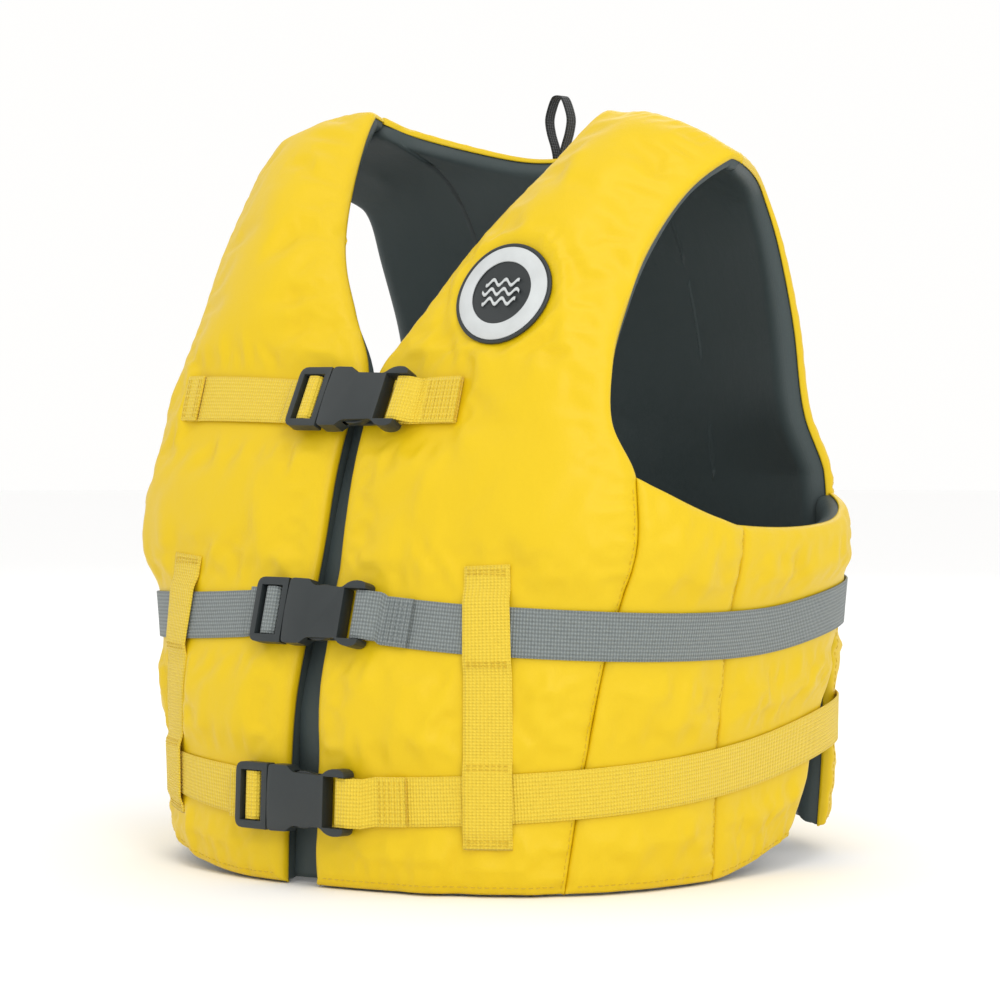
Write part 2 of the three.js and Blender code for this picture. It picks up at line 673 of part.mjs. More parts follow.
// A ribbon loop whose ends stand on the back panel, just behind the neck hole.
function addHangLoop(backGrid) {
  const seat = new THREE.Vector3(0, grade(0, neckBack, 0).y + loopWidth / 2 + 1, backPoint(0, 455).z);
  const route = [[2, -14], [2.4, 4], [4, 12], [7.5, 22], [9, 31], [7, 39], [3.4, loopHeight - 1]];
  const points = [...route.map(([x, z]) => [-x, z]), [0, loopHeight], ...route.toReversed()];
  const across = new THREE.Vector3(0, 1, 0);
  const stations = points.map(([x, z], i) => {
    const [a, b] = [points[Math.max(i - 1, 0)], points[Math.min(i + 1, points.length - 1)]];
    const run = new THREE.Vector3(b[0] - a[0], 0, b[1] - a[1]).normalize();
    return { place: seat.clone().add(new THREE.Vector3(x, 0, z)), out: run.cross(across), across };
  });
  const ground = toSolid(slab(backGrid, -clothGap, 2 * bodyFoam));
  const band = toSolid(ribbon(stations, loopWidth, loopThick));
  add("hang_loop", toGeometry(band.subtract(ground)), blackWebbing);
}

addFronts();
addSidePads();
const backGrid = addBack();
addBelt("waist_belt", waistAt, greyWebbing);
addBelt("lower_belt", lowerAt, yellowWebbing);
addChestStraps();
addKeeper("keeper_front_left", keeperAngle);
addKeeper("keeper_front_right", -keeperAngle);
addKeeper("keeper_back_left", 180 - keeperAngle);
addKeeper("keeper_back_right", 180 + keeperAngle);
addBuckle("chest", chestHeight, yellowWebbing);
addBuckle("waist", waistAt(0), greyWebbing);
addBuckle("lower", lowerAt(0), yellowWebbing);
addBadge();
addHangLoop(backGrid);

// The frame's origin is under the middle of the whole vest.
const extent = new THREE.Box3().setFromObject(vest);
for (const piece of vest.children) piece.position.y -= (extent.min.y + extent.max.y) / 2;

export default vest;
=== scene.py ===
# Foam buoyancy vest: padded nylon panels, webbing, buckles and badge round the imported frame.
import bpy
import bmesh
import math
import numpy as np
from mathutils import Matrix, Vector


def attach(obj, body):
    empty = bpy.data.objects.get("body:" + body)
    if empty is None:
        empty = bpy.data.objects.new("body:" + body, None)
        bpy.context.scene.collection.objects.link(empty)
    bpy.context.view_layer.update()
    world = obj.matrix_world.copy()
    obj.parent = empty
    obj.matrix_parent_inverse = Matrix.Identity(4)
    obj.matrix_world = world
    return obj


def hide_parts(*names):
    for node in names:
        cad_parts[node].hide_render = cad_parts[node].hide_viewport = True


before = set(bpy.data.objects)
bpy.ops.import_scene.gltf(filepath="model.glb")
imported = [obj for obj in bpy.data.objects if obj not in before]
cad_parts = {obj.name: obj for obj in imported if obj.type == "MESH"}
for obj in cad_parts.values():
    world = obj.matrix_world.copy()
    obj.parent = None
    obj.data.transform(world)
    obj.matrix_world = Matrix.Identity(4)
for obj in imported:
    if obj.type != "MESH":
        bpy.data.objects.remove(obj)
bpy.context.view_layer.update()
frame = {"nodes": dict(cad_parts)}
mm = 0.001
bpy.ops.object.select_all(action="DESELECT")
print("frame loaded")

# Camera, floor and lights.
studio = {
    "around": 38, "distance": 2.2105, "eye": 0.2984, "lens": 120.96,
    "down": 1.705, "aside": 0.205, "world": 1.0, "worldColor": (1.0, 0.995, 0.985),
    "floorReach": 9, "floorDrop": 0.0005,
}
lamps = {  # place, aim height, size and power
    "key": ((2.3, -1.6, 1.5), 0.28, 1.2, 17),
    "top": ((0.9, -1.2, 2.6), 0.3, 1.0, 12),
    "rear": ((-1.2, 2.4, 1.8), 0.3, 1.8, 10),
}


def linkNew(name, data):
    made = bpy.data.objects.new(name, data)
    bpy.context.scene.collection.objects.link(made)
    return made


def addCamera():
    turn = math.radians(studio["around"])
    data = bpy.data.cameras.new("camera")
    data.lens = studio["lens"]
    data.sensor_width = 36
    camera = linkNew("camera", data)
    reach, middle = studio["distance"], pattern["shiftY"] * mm
    camera.location = (reach * math.sin(turn), middle - reach * math.cos(turn), studio["eye"])
    down = math.radians(90 - studio["down"])
    camera.rotation_euler = (down, 0, turn - math.radians(studio["aside"]))
    bpy.context.scene.camera = camera


def addLight(name, place, aim, size, power):
    data = bpy.data.lights.new(name, "AREA")
    data.shape, data.size, data.energy = "DISK", size, power
    lamp = linkNew(name, data)
    lamp.location = place
    lamp.rotation_euler = (Vector((0, 0, aim)) - Vector(place)).to_track_quat("-Z", "Y").to_euler()


def addStudio():
    bpy.context.scene.view_settings.view_transform = "Standard"
    world = bpy.data.worlds.new("studio")
    bpy.context.scene.world = world
    world.use_nodes = True
    back = world.node_tree.nodes["Background"]
    back.inputs["Color"].default_value = (*studio["worldColor"], 1)
    back.inputs["Strength"].default_value = studio["world"]
    bpy.ops.mesh.primitive_circle_add(
        vertices=96, radius=studio["floorReach"], fill_type="NGON", location=(0, 0, -studio["floorDrop"]))
    floor = bpy.context.object
    floor.name = "studioFloor"
    floor.data.materials.append(paleFloor())
    floor.select_set(False)
    for name, values in lamps.items():
        addLight(name, *values)


# A finish is written as sums and products of node values.
class Signal:
    # A node socket that can be used in sums and products.
    def __init__(self, shader, socket):
        self.shader, self.socket = shader, socket

    def maths(self, kind, other):
        return self.shader.node("ShaderNodeMath", {"operation": kind}, {0: self, 1: other})

    def __add__(self, other):
        return self.maths("ADD", other)

    def __mul__(self, other):
        return self.maths("MULTIPLY", other)

    __radd__, __rmul__ = __add__, __mul__


class Shader:
    def __init__(self, name):
        self.material = bpy.data.materials.new(name)
        self.material.use_nodes = True
        self.tree = self.material.node_tree
        self.surface = self.tree.nodes["Principled BSDF"]

    def node(self, kind, settings=None, inputs=None, output=0):
        made = self.tree.nodes.new(kind)
        for key, value in (settings or {}).items():
            setattr(made, key, value)
        for key, value in (inputs or {}).items():
            self.feed(made.inputs[key], value)
        return Signal(self, made.outputs[output])

    def feed(self, socket, value):
        if isinstance(value, Signal):
            self.tree.links.new(value.socket, socket)
        else:
            socket.default_value = value

    def set(self, **values):
        for key, value in values.items():
            self.feed(self.surface.inputs[key.replace("_", " ")], value)

    def place(self):
        return self.node("ShaderNodeTexCoord", output="Object")

    def cloth(self):
        return self.node("ShaderNodeTexCoord", output="UV")

    def noise(self, vector, scale, detail=3, rough=0.5):
        return self.node("ShaderNodeTexNoise", inputs={
            "Vector": vector, "Scale": scale, "Detail": detail, "Roughness": rough})

    def stretch(self, vector, scale):
        return self.node("ShaderNodeMapping", inputs={"Vector": vector, "Scale": scale})

    def bands(self, vector, direction, count):
        # Even ribs, count of them per metre.
        return self.node("ShaderNodeTexWave", {"bands_direction": direction, "wave_profile": "SIN"}, {
            "Vector": vector, "Scale": count * 2 * math.pi / 20, "Distortion": 0.0})

    def mix(self, share, low, high):
        return self.node("ShaderNodeMix", {"data_type": "RGBA"}, {
            "Factor": share, 6: (*low, 1), 7: (*high, 1)}, output=2)

    def bump(self, height, strength, distance, normal=None):
        inputs = {"Height": height, "Strength": strength, "Distance": distance}
        if normal:
            inputs["Normal"] = normal
        return self.node("ShaderNodeBump", inputs=inputs)


def paleFloor():
    shader = Shader("paleFloor")
    shader.set(Base_Color=(0.97, 0.97, 0.97, 1), Roughness=0.9)
    return shader.material


def nylon(name, low, high, rough, weave):
    # Coated plain weave: fine threads both ways, soft creases and a little variation in shade.
    shader = Shader(name)
    flat = shader.cloth()
    warp = shader.bands(flat, "X", 1500)
    weft = shader.bands(flat, "Y", 1500)
    crease = shader.noise(shader.stretch(shader.place(), (60, 60, 34)), 1.0, 4, 0.62)
    cloud = shader.noise(shader.place(), 9, 3, 0.6)
    grain = shader.noise(shader.stretch(flat, (2600, 900, 1)), 1.0, 2, 0.5)
    shader.set(Base_Color=shader.mix(cloud * 0.5 + grain * 0.5, low, high))
    shader.set(Roughness=cloud * 0.14 + (rough - 0.07))
    fine = shader.bump(warp * weft + grain * 0.5, weave, 0.00012)
    shader.set(Normal=shader.bump(crease, 0.12, 0.004, fine))
    shader.set(Specular_IOR_Level=0.3)
    return shader.material


def webbingFinish(name, low, high):
    # Ribbed weave: cross ribs along the band, broken by warp threads.
    shader = Shader(name)
    flat = shader.cloth()
    rib = shader.bands(flat, "X", 520)
    thread = shader.bands(flat, "Y", 430)
    flecks = shader.noise(shader.stretch(flat, (420, 640, 1)), 1.0, 2, 0.6)
    weave = rib * 0.35 + thread * 0.35 + rib * thread * 0.3
    shader.set(Base_Color=shader.mix(weave * 0.75 + flecks * 0.4, low, high))
    shader.set(Roughness=flecks * 0.15 + 0.58)
    shader.set(Normal=shader.bump(weave + flecks * 0.4, 0.9, 0.0009))
    shader.set(Sheen_Weight=0.12, Sheen_Roughness=0.5, Specular_IOR_Level=0.35)
    return shader.material


def plasticFinish(name, color, rough):
    shader = Shader(name)
    speckle = shader.noise(shader.place(), 1400, 2, 0.5)
    wear = shader.noise(shader.place(), 55, 4, 0.6)
    lighter = tuple(c * 1.35 + 0.006 for c in color)
    shader.set(Base_Color=shader.mix(wear, color, lighter))
    shader.set(Roughness=wear * 0.16 + (rough - 0.08))
    shader.set(Normal=shader.bump(speckle, 0.22, 0.00012), Specular_IOR_Level=0.5)
    return shader.material


def foamFinish():
    shader = Shader("buoyancyFoam")
    cells = shader.node("ShaderNodeTexVoronoi", inputs={"Vector": shader.place(), "Scale": 900})
    shader.set(Base_Color=shader.mix(cells, (0.62, 0.62, 0.57), (0.8, 0.8, 0.76)))
    shader.set(Roughness=0.92, Normal=shader.bump(cells, 0.5, 0.0004))
    return shader.material


# The body form: height, half width, front and back reach, front and back squareness.
pattern = {
    "shiftY": -2.762,  # centres the vest over the frame's origin
    "frontGap": 6, "armpit": 253, "seamLevel": 498, "shoulderSeam": 12,
    "neckHalfWidth": 98.6, "neckBack": 73.5, "seamTwo": 82.5, "backEdge": 128.5, "backHem": 17,
    "bodyFoam": 22, "sideFoam": 18, "shoulderFoam": 13, "thinning": (330, 480),
    "openTop": 2.5, "openHem": 8, "openSpread": 240, "openClose": (275, 325),
    "padHem": 1, "rearHemRise": 18, "neckShare": 0.55, "neckLow": 330.0,
}
panelSizes = {"front": (182, 560), "sideFront": (96, 232), "sideRear": (158, 222), "back": (392, 560)}
foldCounts = {"front": 60, "sideFront": 24, "sideRear": 30, "back": 90, "lining": 22}
form = np.array([
    [-10, 200, 192, 203, 2.35, 3.0],
    [0, 200, 192, 203, 2.35, 3.0],
    [58, 202, 190, 205, 2.4, 3.1],
    [114, 205, 186, 203, 2.55, 3.1],
    [171, 214, 172, 192, 2.8, 3.2],
    [212, 223, 161, 176, 3.2, 3.4],
    [253, 221, 151, 168, 3.3, 3.7],
    [292, 217, 137, 163, 3.3, 3.6],
    [330, 215, 117, 155, 3.3, 3.4],
])
frontEdge = np.array([[-10, 51], [0, 51], [142, 57.3], [203, 61], [253, 61.5], [292, 62]])
rearEdge = np.array([[0, 105.5], [19, 107], [100, 117], [176, 125.6], [222, 128.1], [250, 128.2]])
armholeTop = np.array([[61.5, 253], [72, 234], [82.5, 222], [110, 221], [128.5, 238]])
waistLevels = np.array([[-60, 158], [0, 166], [38, 160], [90, 155], [125, 168], [180, 172]])
lowerLevels = np.array([[-60, 58], [0, 54], [38, 59], [90, 72], [125, 89], [180, 95]])
strapRows = [  # level, neck edge, armhole edge, crown height, crown place
    (285, (6, -140, 285), (183, -112, 285), 11, 0.66),
    (316, (6, -122, 316), (177, -105, 318), 13, 0.62),
    (357, (30, -103, 357), (173, -92, 352), 17, 0.48),
    (399, (55, -79, 399), (175, -70, 392), 17, 0.4),
    (444, (79, -42, 444), (182, -35, 430), 14, 0.45),
    (484, (95, -5, 483), (194, -3, 452), 6, 0.5),
    (498, (99, 12, 482), (194, 12, 451), 6, 0.5),
]
backRows = [  # level, middle, armhole edge
    (292, (0, 163, 292), (172, 128, 292)),
    (348, (0, 149, 350), (170, 118, 348)),
    (400, (0, 124, 402), (170, 97, 400)),
    (440, (0, 95, 440), (169, 77, 434)),
    (466, (0, 67, 466), (178, 52, 445)),
]


def curveThrough(keys, values, place):
    # Smooth curve through a value at each key. Values have the shape (keys, *place.shape, size).
    keys = np.asarray(keys, float)
    last = len(keys) - 1
    k = np.searchsorted(keys[1:-1], place, "left")
    pick = [np.clip(k + d, 0, last) for d in (-1, 0, 1, 2)]
    before, a, b, after = [np.take_along_axis(values, p[None, ..., None], 0)[0] for p in pick]
    kBefore, kA, kB, kAfter = [keys[p][..., None] for p in pick]
    span = kB - kA
    f = (place[..., None] - kA) / span
    leave = (b - before) / (kB - kBefore) * span
    arrive = (after - a) / (kAfter - kA) * span
    return (a * (2 * f**3 - 3 * f**2 + 1) + leave * (f**3 - 2 * f**2 + f)
            + b * (3 * f**2 - 2 * f**3) + arrive * (f**3 - f**2))


def fromRows(rows, place):
    place = np.asarray(place, float)
    values = np.broadcast_to(
        rows[:, 1:].reshape(len(rows), *(1,) * place.ndim, -1), (len(rows), *place.shape, rows.shape[1] - 1))
    return curveThrough(rows[:, 0], values, place)


def edgeAt(rows, place):
    return fromRows(rows, place)[..., 0]


def ring(angle, level):
    angle, level = np.broadcast_arrays(np.asarray(angle, float), np.asarray(level, float))
    a, front, back, frontSquare, backSquare = np.moveaxis(fromRows(form, level), -1, 0)
    s, c = np.sin(np.radians(angle)), np.cos(np.radians(angle))
    b, n = np.where(c > 0, front, back), np.where(c > 0, frontSquare, backSquare)
    r = (np.abs(s / a) ** n + np.abs(c / b) ** n) ** (-1 / n)
    return np.stack([r * s, -r * c, level], -1)


def smooth(x, low, high):
    f = np.clip((np.asarray(x, float) - low) / (high - low), 0, 1)
    return f * f * (3 - 2 * f)


def unit(v):
    return v / np.maximum(np.linalg.norm(v, axis=-1, keepdims=True), 1e-12)


def strapPoint(row, s):
    level, inner, outer, crown, place = row
    lean = smooth(level, 400, pattern["seamLevel"]) * math.pi / 2
    lift = unit(np.array([0.1, -math.cos(lean), math.sin(lean) + 0.25]))
    inside = np.clip(s, 0, 1)
    rise = (inside / place) ** (2.4 * place)
    fall = ((1 - inside) / (1 - place)) ** (2.4 * (1 - place))
    inner, outer = np.array(inner, float), np.array(outer, float)
    return inner + (outer - inner) * s[..., None] + lift * (crown * rise * fall)[..., None]


def frontRing(s, level):
    start = np.degrees(np.arctan2(pattern["frontGap"], fromRows(form, level)[..., 1]))
    end = edgeAt(frontEdge, level)
    return ring(start + (end - start) * s, level)


def frontPoint(s, level):
    s, level = np.broadcast_arrays(np.asarray(s, float), np.asarray(level, float))
    armpit = pattern["armpit"]
    keys = [213, armpit] + [row[0] for row in strapRows]
    at = [frontRing(s, np.full(s.shape, float(v))) for v in (213, armpit)]
    values = np.stack(at + [strapPoint(row, s) for row in strapRows])
    high = curveThrough(keys, values, level)
    return np.where((level <= armpit)[..., None], frontRing(s, np.minimum(level, armpit)), high)


def seamPoint(s):
    row = strapRows[-1]
    inner, outer = row[1][0], row[2][0]
    x = outer * s
    place = strapPoint(row, np.maximum((np.abs(x) - inner) / (outer - inner), 0))
    place[..., 0] = x
    return place


def backPoint(s, level):
    s, level = np.broadcast_arrays(np.asarray(s, float), np.asarray(level, float))
    armpit = pattern["armpit"]
    angle = 180 - (180 - pattern["backEdge"]) * s
    keys, values = [213, armpit], [ring(angle, 213.0), ring(angle, float(armpit))]
    bend = np.abs(s) ** 2.6
    for key, middle, edge in backRows:
        y = middle[1] + (edge[1] - middle[1]) * bend
        values.append(np.stack([edge[0] * s, y, middle[2] + (edge[2] - middle[2]) * bend], -1))
        keys.append(key)
    keys.append(pattern["seamLevel"])
    values.append(seamPoint(s))
    high = curveThrough(keys, np.stack(values), level)
    return np.where((level <= armpit)[..., None], ring(angle, np.minimum(level, armpit)), high)


def padPoint(fromAngle, toAngle, hem, s, share):
    armpit = np.full(np.shape(s), float(pattern["armpit"]))
    start, end = fromAngle(armpit), toAngle(armpit)
    top = edgeAt(armholeTop, start + (end - start) * s)
    low = hem(s)
    level = low + (top - low) * share
    angle = fromAngle(level)
    return ring(angle + (toAngle(level) - angle) * s, level)


def folded(angle):
    return np.abs((angle + 180) % 360 - 180)


def waistAt(angle):
    return edgeAt(waistLevels, folded(np.asarray(angle, float)))


def lowerAt(angle):
    return edgeAt(lowerLevels, folded(np.asarray(angle, float)))


# The vest hangs a little unevenly: its right shoulder sits higher and its right hem rises.
hang = {
    "shoulderRise": 9, "shoulderFrom": (370, 480), "shoulderSide": (10, 110),
    "hemRise": 15, "hemReach": 75, "hemSide": (40, 190),
}


def settle(points):
    moved = np.array(points, float)
    x, z = moved[..., 0].copy(), moved[..., 2].copy()
    high, low = smooth(z, *hang["shoulderFrom"]), 1 - smooth(z, 0, hang["hemReach"])
    moved[..., 2] += hang["shoulderRise"] * high * smooth(-x, *hang["shoulderSide"])
    moved[..., 2] += hang["hemRise"] * low * smooth(-x, *hang["hemSide"])
    return moved


# Meshes.
def toMetres(points):
    moved = settle(points)
    moved[..., 1] += pattern["shiftY"]
    return moved * mm


def addMesh(name, points, faces, material, uv=None):
    mesh = bpy.data.meshes.new(name)
    mesh.from_pydata([tuple(p) for p in points.reshape(-1, 3)], [], [tuple(f) for f in faces])
    if uv is not None:
        layer = mesh.uv_layers.new(name="cloth")
        corners = np.empty(len(mesh.loops), dtype=int)
        mesh.loops.foreach_get("vertex_index", corners)
        layer.data.foreach_set("uv", uv.reshape(-1, 2)[corners].ravel())
    mesh.materials.append(material)
    mesh.polygons.foreach_set("use_smooth", [True] * len(mesh.polygons))
    mesh.update()
    return linkNew(name, mesh)


def signedVolume(points, faces):
    total = 0.0
    for face in faces:
        corners = points[np.array(face)]
        total += np.einsum("ij,ij->", np.cross(corners[1:-1], corners[2:]), np.broadcast_to(
            corners[0], (len(corners) - 2, 3)))
    return total


def facedOut(solid, faces):
    # The faces, turned round if they point inwards.
    if signedVolume(solid.reshape(-1, 3), faces) < 0:
        return [face[::-1] for face in faces]
    return faces


def gridFaces(rows, columns, closeColumns=False):
    index = np.arange(rows * columns).reshape(rows, columns)
    if closeColumns:
        index = np.concatenate([index, index[:, :1]], 1)
    a, b, c, d = index[:-1, :-1], index[1:, :-1], index[1:, 1:], index[:-1, 1:]
    return np.stack([a, b, c, d], -1).reshape(-1, 4)


def selectOnly(piece):
    bpy.ops.object.select_all(action="DESELECT")
    piece.select_set(True)
    bpy.context.view_layer.objects.active = piece


def useModifier(piece, kind, **settings):
    modifier = piece.modifiers.new(kind.lower(), kind)
    for key, value in settings.items():
        setattr(modifier, key, value)
    selectOnly(piece)
    bpy.ops.object.modifier_apply(modifier=modifier.name)
    piece.select_set(False)


def mergeDoubles(piece, reach=1e-6, flat=None):
    # Joins points that meet, and where an angle is given, faces that lie flat together.
    mesh = bmesh.new()
    mesh.from_mesh(piece.data)
    bmesh.ops.remove_doubles(mesh, verts=mesh.verts, dist=reach)
    if flat:
        bmesh.ops.dissolve_limit(mesh, angle_limit=math.radians(flat), verts=mesh.verts, edges=mesh.edges)
    mesh.to_mesh(piece.data)
    mesh.free()


def finishPiece(piece, body, nodes=()):
    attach(piece, body)
    if nodes:
        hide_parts(*nodes)


def gridNormals(points):
    return unit(np.cross(np.gradient(points, axis=0), np.gradient(points, axis=1)))


def lengthAlong(line):
    return np.concatenate([[0], np.cumsum(np.linalg.norm(np.diff(line, axis=0), axis=1))])


def arcLengths(points, axis):
    steps = np.linalg.norm(np.diff(points, axis=axis), axis=-1)
    pad = [(0, 0), (0, 0)]
    pad[axis] = (1, 0)
    return np.pad(np.cumsum(steps, axis=axis), pad)


# Padded panels.
fabric = {
    "step": 2.6, "inset": 0.05, "puff": 2.8, "fall": 46, "rest": 0.5, "shell": 0.8, "round": 0.42,
    "edgeShare": 0.6, "seamShare": 0.4, "tuck": 0.36, "hidden": 0.26,
    "crease": 3.6, "foldCap": 2.4, "pucker": 1.0, "puckerReach": 14, "freePucker": 0.2,
    "seamStitch": 2.8, "hemStitch": 5.0, "groove": 0.7, "grooveWidth": 1.5, "sewnTop": (236, 262),
}
pressed = {  # how far round the webbing and the badge the cover is held down
    "belt": 24, "beltHalf": 13.5, "strapEnds": (80, 138), "strapFade": 16, "degree": 3.2,
    "keeper": (13, 24), "keeperLow": (14, 30), "keeperHigh": (197, 213), "keeperShare": 0.8,
    "badge": (-3, 9),
}
crease = {"tilt": 0.6, "reach": (20, 50), "width": (4.5, 10), "least": 0.4, "ridges": 0.4}
rippleLength = (9, 22)
relaxed = {
    "step": 6.0, "frames": 20, "quality": 7, "mass": 0.2, "tension": 15, "shear": 5, "stiff": 4.0,
    "slack": 0.05, "pressure": 1.0, "cap": 3.2,
}
inner = {  # the lining, the foam slab and their distances
    "liningInset": 1.2, "liningPuff": 1.5, "liningCrease": 1.3,
    "foamStep": 12, "foamInset": 10, "foamRound": 3.0, "foamGap": 5.0, "foamBack": 2.6,
}
rng = np.random.default_rng(7)


def spaced(length, step, inset):
    # Places from 0 to 1 along a length, close together near both ends.
    ends = np.array([0, 0.5, 1.4, 2.8, 4.8, 7.4, 10.6])
    reach = length - 2 * inset
    count = max(int(round((reach - 2 * ends[-1]) / step)), 2)
    middle = np.linspace(ends[-1], reach - ends[-1], count + 1)
    return (inset + np.concatenate([ends[:-1], middle, reach - ends[-2::-1]])) / length


def pressing(points):
    # How hard webbing presses on the cover: 0 is free and 1 is under a belt.
    angle = np.degrees(np.arctan2(points[..., 0], -points[..., 1]))
    z = points[..., 2]
    half, reach = pressed["beltHalf"], pressed["beltHalf"] + pressed["belt"]
    press = np.zeros(z.shape)
    for level in (waistAt(angle), lowerAt(angle)):
        press = np.maximum(press, 1 - smooth(np.abs(z - level), half, reach))
    strap = 1 - smooth(np.abs(z - buckles["chest"]["level"]), half, reach)
    side = np.where(points[..., 0] > 0, *pressed["strapEnds"])
    across = 1 - smooth(np.abs(points[..., 0]), side, side + pressed["strapFade"])
    strap = strap * across * (points[..., 1] < 0)
    press = np.maximum(press, strap)
    for keeper in keepers["angles"].values():
        away = np.abs((angle - keeper + 180) % 360 - 180) * pressed["degree"]
        tall = smooth(z, *pressed["keeperLow"]) * (1 - smooth(z, *pressed["keeperHigh"]))
        press = np.maximum(press, pressed["keeperShare"] * (1 - smooth(away, *pressed["keeper"])) * tall)
    away = np.linalg.norm(points - badgeSpot(0, 0, 0), axis=-1) - badge["radius"]
    return np.maximum(press, 1 - smooth(away, *pressed["badge"]))


def creases(points, normal, count, depth, weight):
    # Soft dents and ridges, mostly upright, where the weight is large.
    flat, height = points.reshape(-1, 3), np.zeros(weight.size)
    for centre in flat[rng.choice(len(flat), count, p=weight.ravel() / weight.sum())]:
        away = flat - centre
        nearest = np.abs(away).sum(1).argmin()
        side = unit(np.cross(np.array([0, 0, 1.0]), normal.reshape(-1, 3)[nearest]))
        tilt = rng.normal(0, crease["tilt"])
        reach, width = rng.uniform(*crease["reach"]), rng.uniform(*crease["width"])
        line = math.cos(tilt) * np.array([0, 0, 1.0]) + math.sin(tilt) * side
        run = away @ line
        across = (away**2).sum(1) - run**2
        size = depth * rng.uniform(crease["least"], 1) * (1 if rng.random() < crease["ridges"] else -1)
        height += size * np.exp(-((run / reach) ** 2) - across / width**2)
    return height.reshape(weight.shape)


def ripple(distance):
    # An uneven wave along a seam, by the distance along it.
    total = 0
    for _ in range(5):
        length, start, size = rng.uniform(*rippleLength), rng.uniform(0, 6.3), rng.uniform(0.4, 1)
        total = total + size * np.sin(2 * math.pi * distance / length + start)
    return total / 2


def relaxFabric(points, normal, held):
    # A slightly oversized cloth buckles between the lines that hold it. Gives its move outwards.
    mesh = bpy.data.meshes.new("cloth")
    mesh.from_pydata([tuple(p) for p in points.reshape(-1, 3) * mm], [], gridFaces(*held.shape).tolist())
    piece = linkNew("cloth", mesh)
    group = piece.vertex_groups.new(name="held")
    for index, weight in enumerate(held.ravel()):
        if weight > 0.02:
            group.add([index], float(weight), "REPLACE")
    cloth = piece.modifiers.new("cloth", "CLOTH")
    settings = cloth.settings
    settings.quality, settings.mass = relaxed["quality"], relaxed["mass"]
    settings.tension_stiffness = settings.compression_stiffness = relaxed["tension"]
    settings.shear_stiffness, settings.bending_stiffness = relaxed["shear"], relaxed["stiff"]
    settings.vertex_group_mass = "held"
    settings.shrink_min = settings.shrink_max = -relaxed["slack"]
    settings.effector_weights.gravity = 0
    settings.use_pressure = True
    settings.uniform_pressure_force = relaxed["pressure"]
    cloth.collision_settings.use_collision = False
    for number in range(1, relaxed["frames"] + 1):
        bpy.context.scene.frame_set(number)
    solved = piece.evaluated_get(bpy.context.evaluated_depsgraph_get()).to_mesh()
    place = np.empty(len(solved.vertices) * 3)
    solved.vertices.foreach_get("co", place)
    out = ((place.reshape(points.shape) / mm - points) * normal).sum(-1)
    bpy.data.objects.remove(piece)
    bpy.context.scene.frame_set(1)
    return relaxed["cap"] * np.tanh(out / relaxed["cap"])


def enlarge(coarse, s, t):
    # Smooth resampling of an even grid of heights at the places s and t.
    rows = np.broadcast_to(coarse[:, None], (len(coarse), len(s), coarse.shape[1]))
    tall = curveThrough(np.arange(len(coarse)), rows, s * (len(coarse) - 1)).T
    rows = np.broadcast_to(tall[:, None], (len(tall), len(t), tall.shape[1]))
    return curveThrough(np.arange(len(tall)), rows, t * (len(tall) - 1)).T


def edgeDistances(points):
    u, v = arcLengths(points, 0), arcLengths(points, 1)
    return u, v, [u, u[-1:] - u, v, v[:, -1:] - v]


def roundedDrop(distance, radius):
    # Height lost near a rounded edge.
    inside = radius - np.minimum(distance, radius)
    return radius - np.sqrt(np.maximum(radius**2 - inside**2, 0))


def edgeShape(edges, thickness, shares=(1, 1, 1, 1)):
    # The height lost near the edges, and how free the middle is.
    drop, free = np.zeros(edges[0].shape), np.ones(edges[0].shape)
    for distance, share in zip(edges, shares):
        drop = np.maximum(drop, share * roundedDrop(distance, fabric["round"] * thickness))
        free *= 1 - np.clip(1 - distance / fabric["fall"], 0, 1) ** 2
    return drop, free


def shapeHeights(points, thickness, shares):
    # Height of the padded cover over its panel's surface, before the cloth is relaxed.
    u, v, edges = edgeDistances(points)
    press = pressing(points)
    drop, free = edgeShape(edges, thickness, shares)
    height = fabric["puff"] * free * (1 - press) + fabric["rest"] * free - drop
    return height, press, free, edges, u, v


def relaxedHeights(surface, size, thickness, shares, s, t):
    cells = [max(int(length / relaxed["step"]), 8) for length in size]
    base = surface(*np.meshgrid(*[np.linspace(0, 1, cell + 1) for cell in cells], indexing="ij"))
    low, hold, loose, *_ = shapeHeights(base, thickness(base), shares)
    cloth = base + gridNormals(base) * low[..., None]
    held = np.clip(np.maximum(hold * 1.3, (1 - loose) * 1.2), 0, 1)
    held[[0, -1]] = held[:, [0, -1]] = 1
    return enlarge(relaxFabric(cloth, gridNormals(cloth), held), s, t)


